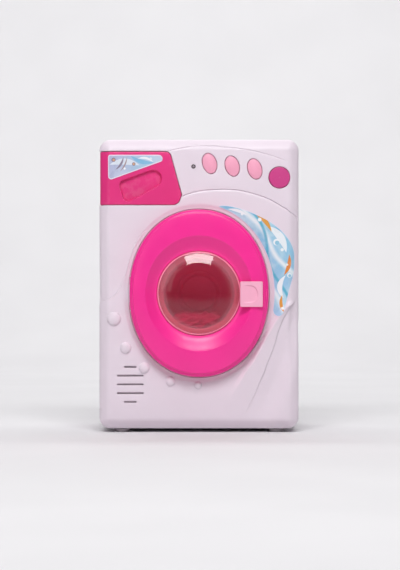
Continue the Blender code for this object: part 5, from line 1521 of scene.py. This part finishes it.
def cross_screw(name, cx, cz, head_y, tip_y, head_r, head_h, shank_r, s, body, node):
    """A pan-head screw along Y with a cross slot; s is -1 if its shank points to -Y."""
    n = 48
    parts = Parts()
    head = [(0.0, head_y - s * head_h), (head_r * 0.45, head_y - s * head_h * 0.97), (head_r * 0.75, head_y - s * head_h * 0.8),
            (head_r * 0.93, head_y - s * head_h * 0.5), (head_r, head_y - s * head_h * 0.18), (head_r, head_y), (shank_r, head_y)]
    length = abs(tip_y - head_y)
    turns = max(3, int(length / 0.9))
    for k in range(turns):
        y = head_y + s * (0.4 + (length - 1.4) * (k + 0.5) / turns)
        head += [(shank_r * 0.82, y - s * 0.25), (shank_r, y), (shank_r * 0.82, y + s * 0.25)]
    head += [(shank_r * 0.5, tip_y - s * 0.5), (0.0, tip_y)]
    verts, faces = turned(head, cx, cz, n, closed=False)
    # The cross slot: two blocks of black plastic set into the head; their black is painted shade for the hollow of the
    # slot.
    x, y, z = verts.T
    face = np.abs(y - (head_y - s * head_h)) < head_h * 0.75
    parts.add(verts, faces)
    for g in (0.4, 0.4 + math.pi / 2):
        w, l = head_r * 0.13, head_r * 0.6
        cr = np.array([(-l, -w), (l, -w), (l, w), (-l, w)])
        rot = np.column_stack([cr[:, 0] * math.cos(g) - cr[:, 1] * math.sin(g), cr[:, 0] * math.sin(g) + cr[:, 1] * math.cos(g)])
        y0 = head_y - s * (head_h + 0.02)
        y1 = head_y - s * head_h * 0.55
        r0 = np.column_stack([cx + rot[:, 0], np.full(4, y0), cz + rot[:, 1]])
        r1 = np.column_stack([cx + rot[:, 0], np.full(4, y1), cz + rot[:, 1]])
        parts.add(*lofted([r0, r1], cap_first=True, cap_last=True), 1)
    obj = parts.make(name, [M_STEEL, M_BLACK], sharp=40.0)
    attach(obj, body)
    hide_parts(node)
    return obj


for i, (x, z) in enumerate(((-33.0, 46.0), (33.0, 46.0), (-33.0, -46.0), (33.0, -46.0))):
    cross_screw(f"door_screw_cross_{i + 1}", x, DOOR_Z + z, -46.0, -53.4, 2.5, 0.9, 1.05, -1, "door", f"door_screw_{i + 1}")


# -------------------------------------------------------------------- latch
def build_latch():
    outline = box_outline(32.7, 50.6, 100.8, 121.0, 0.9, 5)
    pad = rounded([(34.0, 103.9), (40.4, 103.9), (46.4, 103.9), (46.4, 117.9), (40.4, 117.9), (34.0, 117.9)],
                  [0.5, 0, 6.0, 6.0, 0, 0.5], 14)
    lines = Lines()
    for d in (0.3, 0.1, -0.08, -0.2, -0.35, -0.55, -0.8, -1.2, -1.8, -2.6, -3.6, -5.0):
        lines.add(offset(even(pad, 1.0), d), True)

    def relief(uv):
        # A thumb pad: a crisp wall round its right half, its floor rising to the left until it runs out.
        d, _, _ = off_line(uv, pad, True)
        d = np.where(inside(uv, pad), d, -d)
        g = np.arctan2(uv[:, 1] - 110.9, uv[:, 0] - 40.4)
        wide = 0.45 + 0.6 * smooth(-np.sin(g))
        deep = 0.9 * smooth((uv[:, 0] - 33.6) / 9.5)
        return -deep * smooth((d + 0.15) / wide)

    verts, faces = slab(outline, [], -59.0, -57.7, r=0.4, steps=4, lines=lines, height=relief, back_r=0.2)
    parts = Parts().add(verts, faces)
    parts.add(*bar(32.8, 36.8, -57.9, -55.6, 101.0, 120.8, 0.4, 3))
    # The tongue with its hook.
    hook = [(46.4, -57.8), (46.4, -41.0), (46.0, -40.6), (44.6, -40.6), (42.9, -42.2), (42.9, -42.8), (44.0, -43.0), (44.0, -57.8)]
    v, f = slab([(x, y) for x, y in hook], [], 0.0, 13.4, r=0.2, steps=2)
    parts.add(np.column_stack([v[:, 0], v[:, 2], 104.2 + v[:, 1]]), f)
    for z in (106.0, 115.0):      # stiffening ribs down the tongue
        parts.add(*bar(43.0, 44.2, -57.9, -54.6, z, z + 0.9, 0.15, 1))
    return parts.make("door_latch_moulding", M_PALE, sharp=34.0)


latch = build_latch()
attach(latch, "latch")
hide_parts("door_latch")


# ------------------------------------------------------------- drum and tub
def build_drum():
    parts = Parts()
    R, wall = 37.9, 1.4
    n = 144

    def place(uv, h):
        t = uv[:, 0] / R
        return np.column_stack([(R + h) * np.cos(t), uv[:, 1], DOOR_Z + (R + h) * np.sin(t)])

    y0, y1 = -35.0, 8.4
    around = math.tau * R
    side = np.linspace(y0, y1, 11)
    us = np.linspace(0, around, n + 1)
    loop = np.vstack([np.column_stack([us, np.full(n + 1, y0)]), np.column_stack([np.full(9, around), side[1:-1]]),
                      np.column_stack([us[::-1], np.full(n + 1, y1)]), np.column_stack([np.zeros(9), side[1:-1][::-1]])])
    holes = []
    # Three fields of holes between the paddles, staggered.
    for third in range(3):
        start = math.radians(90 + 120 * third + 18) * R
        for col in range(8):
            for row in range(5):
                if col % 2 and row == 4:
                    continue
                u = start + col * math.radians(12.0) * R
                v = -29.0 + row * 7.2 + (3.6 if col % 2 else 0.0)
                holes.append(disc((u % around), v, 1.35, 14))
    inner, outer = Lines(), Lines()
    for lines in (inner, outer):
        for k in range(0, n, 1):
            lines.dots([(us[k] + 0.8, v) for v in (-33.0, 5.0)])
        for h in holes:
            lines.add(offset(h, 0.35), True)
    verts, faces = two_sided(place, [loop] + holes, outer, inner, lambda uv: np.full(len(uv), 0.7),
                             lambda uv: -0.7 + 0 * uv[:, 0])
    parts.add(verts, faces)
    # Front lip and back wall.
    parts.add(*turned(soften([(38.5, -34.9), (38.5, -36.4), (37.2, -37.9), (29.6, -38.6), (28.6, -38.2), (28.6, -37.5), (29.4, -37.1),
                              (36.0, -36.4), (37.2, -35.4), (37.2, -34.9)], 0.5, 4), 0, DOOR_Z, n))
    back = [(0.0, 6.9), (12.6, 7.0), (13.3, 6.7), (14.0, 6.75), (14.6, 7.4), (15.4, 8.5), (16.4, 8.7), (17.0, 8.3), (18.2, 8.3), (18.8, 8.8),
            (26.0, 9.0), (26.5, 8.7), (27.5, 8.7), (28.0, 9.0), (34.6, 9.1), (36.4, 8.6), (37.2, 7.6), (38.5, 7.6), (38.6, 10.2), (38.0, 11.0),
            (6.0, 11.0), (6.0, 14.0), (2.8, 14.0), (2.8, 9.6), (0.0, 9.6)]
    parts.add(*turned(back, 0, DOOR_Z, n, closed=False))
    for deg in (90.0, 210.0, 330.0):
        t = math.radians(deg)
        prof = rounded([(-5.4, 37.6), (-1.9, 30.7), (1.9, 30.7), (5.4, 37.6)], [0.4, 1.5, 1.5, 0.4], 6)
        rings = []
        for y, k in ((-34.2, 0.55), (-33.4, 0.85), (-32.0, 1.0), (9.2, 1.0)):
            u = prof[:, 0] * k
            v = 37.6 - (37.6 - prof[:, 1]) * k
            rings.append(np.column_stack([v * math.cos(t) - u * math.sin(t), np.full(len(u), y),
                                          DOOR_Z + v * math.sin(t) + u * math.cos(t)]))
        parts.add(*lofted(rings, cap_first=True, cap_last=True))
    return parts.make("drum_moulding", M_DRUM, sharp=34.0, weld=0.002)


drum = build_drum()
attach(drum, "drum")
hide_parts("drum")

tub = Parts().add(*turned(soften([(40.8, -43.4), (42.2, -43.4), (42.2, 14.6), (8.0, 14.6), (8.0, 13.1), (40.8, 13.1)], 0.5, 3), 0, DOOR_Z, 128))
tub = tub.make("tub_moulding", M_WHITE, sharp=34.0)
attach(tub, "cabinet")
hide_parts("tub")


# --------------------------------------------------------------------- feet
for name, x, y in (("foot_front_left", -62, -33), ("foot_front_right", 62, -33),
                   ("foot_rear_left", -62, 44), ("foot_rear_right", 62, 44)):
    prof = [(0.0, 0.35), (3.4, 0.35), (3.8, 0.0), (5.2, 0.0), (5.55, 0.25), (5.9, 1.1), (6.3, 2.2), (6.5, 2.4), (6.5, 2.85), (0.0, 2.85)]
    v, f = turned(prof, x, y, 56, closed=False, axis="z")
    foot = Parts().add(v, f).make(name + "_pad", M_RUBBER, sharp=45.0)
    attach(foot, "cabinet")
    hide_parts(name)


# ------------------------------------------------------------ battery cover
def build_cover():
    outline = even(box_outline(-33.0, 33.0, 15.5, 75.0, 2.8, 6), 5.0)
    seat, way = disc(0, 72.6 - 2.2, 2.0, 28), None
    lines = Lines()
    for k in range(6):
        z = 21.4 + k * 2.6
        for d in (-0.55, -0.35, -0.15, 0.15, 0.35, 0.55):
            lines.add(offset(box_outline(-11.5, 11.5, z - 0.7, z + 0.7, 0.68, 4), d), True)
    lines.add(box_outline(-14.0, 14.0, 18.6, 37.2, 2.0), True)
    lines.add(box_outline(-14.4, 14.4, 18.2, 37.6, 2.4), True)
    for r in (1.6, 1.9, 2.1, 2.4):
        lines.add(disc(0, 72.6, r, 32), True)

    def relief(uv):
        h = np.zeros(len(uv))
        frame_loop = box_outline(-14.2, 14.2, 18.4, 37.4, 2.2)
        d, _, _ = off_line(uv, frame_loop, True)
        d = np.where(inside(uv, frame_loop), d, -d)
        h -= 0.5 * smooth(0.5 + d / 0.4)
        for k in range(6):
            z = 21.4 + k * 2.6
            loop = box_outline(-11.5, 11.5, z - 0.7, z + 0.7, 0.68, 4)
            d, _, _ = off_line(uv, loop, True, reach=1.5)
            d = np.where(inside(uv, loop), d, -d)
            h += 0.55 * smooth(0.5 + np.clip(d, -1, 1) / 1.1)
        d = np.hypot(uv[:, 0], uv[:, 1] - 72.6)
        h -= 0.9 * smooth((2.4 - d) / 0.5)
        return h

    verts, faces = slab(outline, [], 0.0, 2.0, r=0.35, steps=3, lines=lines, height=relief)
    # The plate was laid out facing -Y: turn it to face the back.
    verts = np.column_stack([verts[:, 0], 58.8 - verts[:, 1], verts[:, 2]])
    return Parts().add(verts, faces).make("battery_cover_moulding", M_BODY, sharp=32.0)


cover = build_cover()
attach(cover, "cabinet")
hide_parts("battery_cover")
cross_screw("battery_cover_screw_cross", 0, 72.6, 58.0, 52.0, 1.5, 0.6, 0.75, -1, "cabinet", "battery_cover_screw")


# ------------------------------------------------------------------ laundry
def build_cloth():
    """A small cloth rolled loosely over itself, with folds across it, left in the bottom of the drum."""
    nu, nv, turns = 110, 230, 1.62
    rows = []
    for j in range(nv + 1):
        s = j / nv
        g = -0.35 * math.pi - turns * math.tau * s        # starts inside, low at the front
        row = []
        for i in range(nu):
            a = -1 + 2 * i / (nu - 1)
            x = -2.0 + 18.4 * a + 0.8 * math.sin(2.2 * g)
            lay = 0.50 + 0.50 * s                         # the inner turn is smaller
            end = 1 - 0.30 * abs(a) ** 5
            deep, high = 11.8 * lay * end, (9.3 - 0.9 * math.cos(2.4 * a + 0.6)) * lay * end
            n = 0.0
            for k, (tilt, pitch, size) in enumerate(((0.55, 6.8, 0.9), (-0.42, 9.5, 1.05), (0.12, 4.3, 0.45))):
                w = (18.4 * a * math.sin(tilt) + 10.0 * g * math.cos(tilt)) / pitch * math.pi + 1.3 * k
                w += 0.9 * math.sin(2.0 * a + 1.1 * k)
                n += size * (1 - 2 * abs(math.sin(w)) ** 0.8)
            n *= (0.25 + 0.75 * smooth((s - 0.25) / 0.3))
            cy, cz = math.cos(g), math.sin(g)
            y = -18.0 + (deep + n * 0.9) * cy
            floor = DOOR_Z - math.sqrt(36.5 ** 2 - min(abs(x), 30.0) ** 2)
            z = floor + 11.2 - 3.4 * a * a + (high + n) * cz
            z = floor + 0.45 + max(z - floor - 0.45, 0.12 * (z - floor - 0.45) + 0.25 * (1 - s))
            row.append((x, max(y, -32.5), z))
        rows.append(row)
    verts = np.array(rows).reshape(-1, 3)
    faces = [(j * nu + i, j * nu + i + 1, (j + 1) * nu + i + 1, (j + 1) * nu + i)
             for j in range(nv) for i in range(nu - 1)]
    return verts, faces


cv, cf = build_cloth()
cloth = make_object("laundry_cloth_folded", cv, cf, M_CLOTH, sharp=180.0, recalc=False)
thick = cloth.modifiers.new("thickness", "SOLIDIFY")
thick.thickness = 0.5 * MM
thick.offset = 0.0
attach(cloth, "drum")
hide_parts("laundry_cloth")


# ---------------------------------------------------- finish of kept CAD nodes
FINISH = {
    "drawer_sleeve": M_WHITE, "battery_box": M_WHITE, "gearbox_front": M_WHITE, "gearbox_rear": M_WHITE,
    "drum_gear": M_WHITE, "idler_gear": M_WHITE, "motor_pinion": M_WHITE, "control_pcb": M_PCB, "keypad_mat": M_RUBBER,
    "speaker_frame": M_WHITE, "speaker_cone": M_PAPER, "speaker_magnet": M_MOTOR, "drum_bush": M_BLACK,
    "motor_can": M_MOTOR, "battery_wire": M_WIRE_R, "speaker_wire": M_WIRE_B,
}
for name, node in NODES.items():
    if node.hide_render:
        continue
    mat = FINISH.get(name)
    if mat is None:
        mat = M_CELL if name.startswith("battery_cell") else M_STEEL
    node.data.materials.clear()
    node.data.materials.append(mat)

# ------------------------------------------------------ floor, lights, camera
CAM_X, CAM_Z = 0.0008, 0.1182
FACE = FRONT_Y * MM
DISTANCE = 1.5


def build_floor():
    """A pale floor that curves up behind the object."""
    prof = [(-7.0, 0.0), (1.1, 0.0)]
    for k in range(1, 25):
        g = k / 24 * math.pi / 2
        prof.append((1.1 + 0.9 * math.sin(g), 0.9 - 0.9 * math.cos(g)))
    prof.append((2.0, 3.2))
    bm = bmesh.new()
    rows = []
    for x in np.linspace(-7.0, 7.0, 15):
        rows.append([bm.verts.new((x, y, z)) for y, z in prof])
    for a, b in zip(rows, rows[1:]):
        for i in range(len(prof) - 1):
            bm.faces.new((a[i], b[i], b[i + 1], a[i + 1]))
    mesh = bpy.data.meshes.new("studio_floor")
    bm.to_mesh(mesh)
    bm.free()
    mesh.shade_smooth()
    g = Graph("studio_paper")
    fine = g.noise(6.0, 2.0)
    colour = g.mix(g.span(fine, 0.3, 0.7), rgb("e2e1e3"), rgb("e5e4e6"))
    mesh.materials.append(g.set(color=colour, rough=0.85, spec=0.1))
    obj = bpy.data.objects.new("studio_floor", mesh)
    bpy.context.scene.collection.objects.link(obj)


build_floor()


def lamp(name, place, target, size, power, colour=(1, 1, 1), spread=180.0):
    data = bpy.data.lights.new(name, "AREA")
    data.shape = "RECTANGLE"
    data.size, data.size_y = size
    data.energy = power
    data.color = colour
    data.spread = math.radians(spread)
    obj = bpy.data.objects.new(name, data)
    obj.location = place
    obj.rotation_euler = (Vector(target) - Vector(place)).to_track_quat("-Z", "Y").to_euler()
    bpy.context.scene.collection.objects.link(obj)
    return obj


MIDDLE = (0, 0, 0.12)
lamp("overhead", (0.0, -0.95, 1.22), MIDDLE, (0.86, 0.4), 14.8)
lamp("front_left", (-1.1, -1.5, 0.75), MIDDLE, (0.9, 1.2), 3.4, (1.0, 0.985, 0.995))
lamp("front_right", (1.2, -1.4, 0.65), MIDDLE, (0.9, 1.2), 1.5, (1.0, 0.985, 0.995))
lamp("backdrop", (0.0, 0.75, 1.9), (0.0, 1.8, 0.35), (2.6, 0.6), 32.0)

world = bpy.data.worlds.new("studio")
world.use_nodes = True
world.node_tree.nodes["Background"].inputs["Color"].default_value = (1.0, 0.985, 0.995, 1.0)
world.node_tree.nodes["Background"].inputs["Strength"].default_value = 0.13
bpy.context.scene.world = world
bpy.context.scene.view_settings.view_transform = "Standard"

cam_data = bpy.data.cameras.new("camera")
cam_data.sensor_width = 36.0
cam_data.lens = 36.0 * DISTANCE / (570 * 0.8 * MM)
cam_data.clip_start, cam_data.clip_end = 0.05, 20.0
cam = bpy.data.objects.new("camera", cam_data)
cam.location = (CAM_X, FACE - DISTANCE, CAM_Z)
cam.rotation_euler = (math.pi / 2, 0, 0)
bpy.context.scene.collection.objects.link(cam)
bpy.context.scene.camera = cam
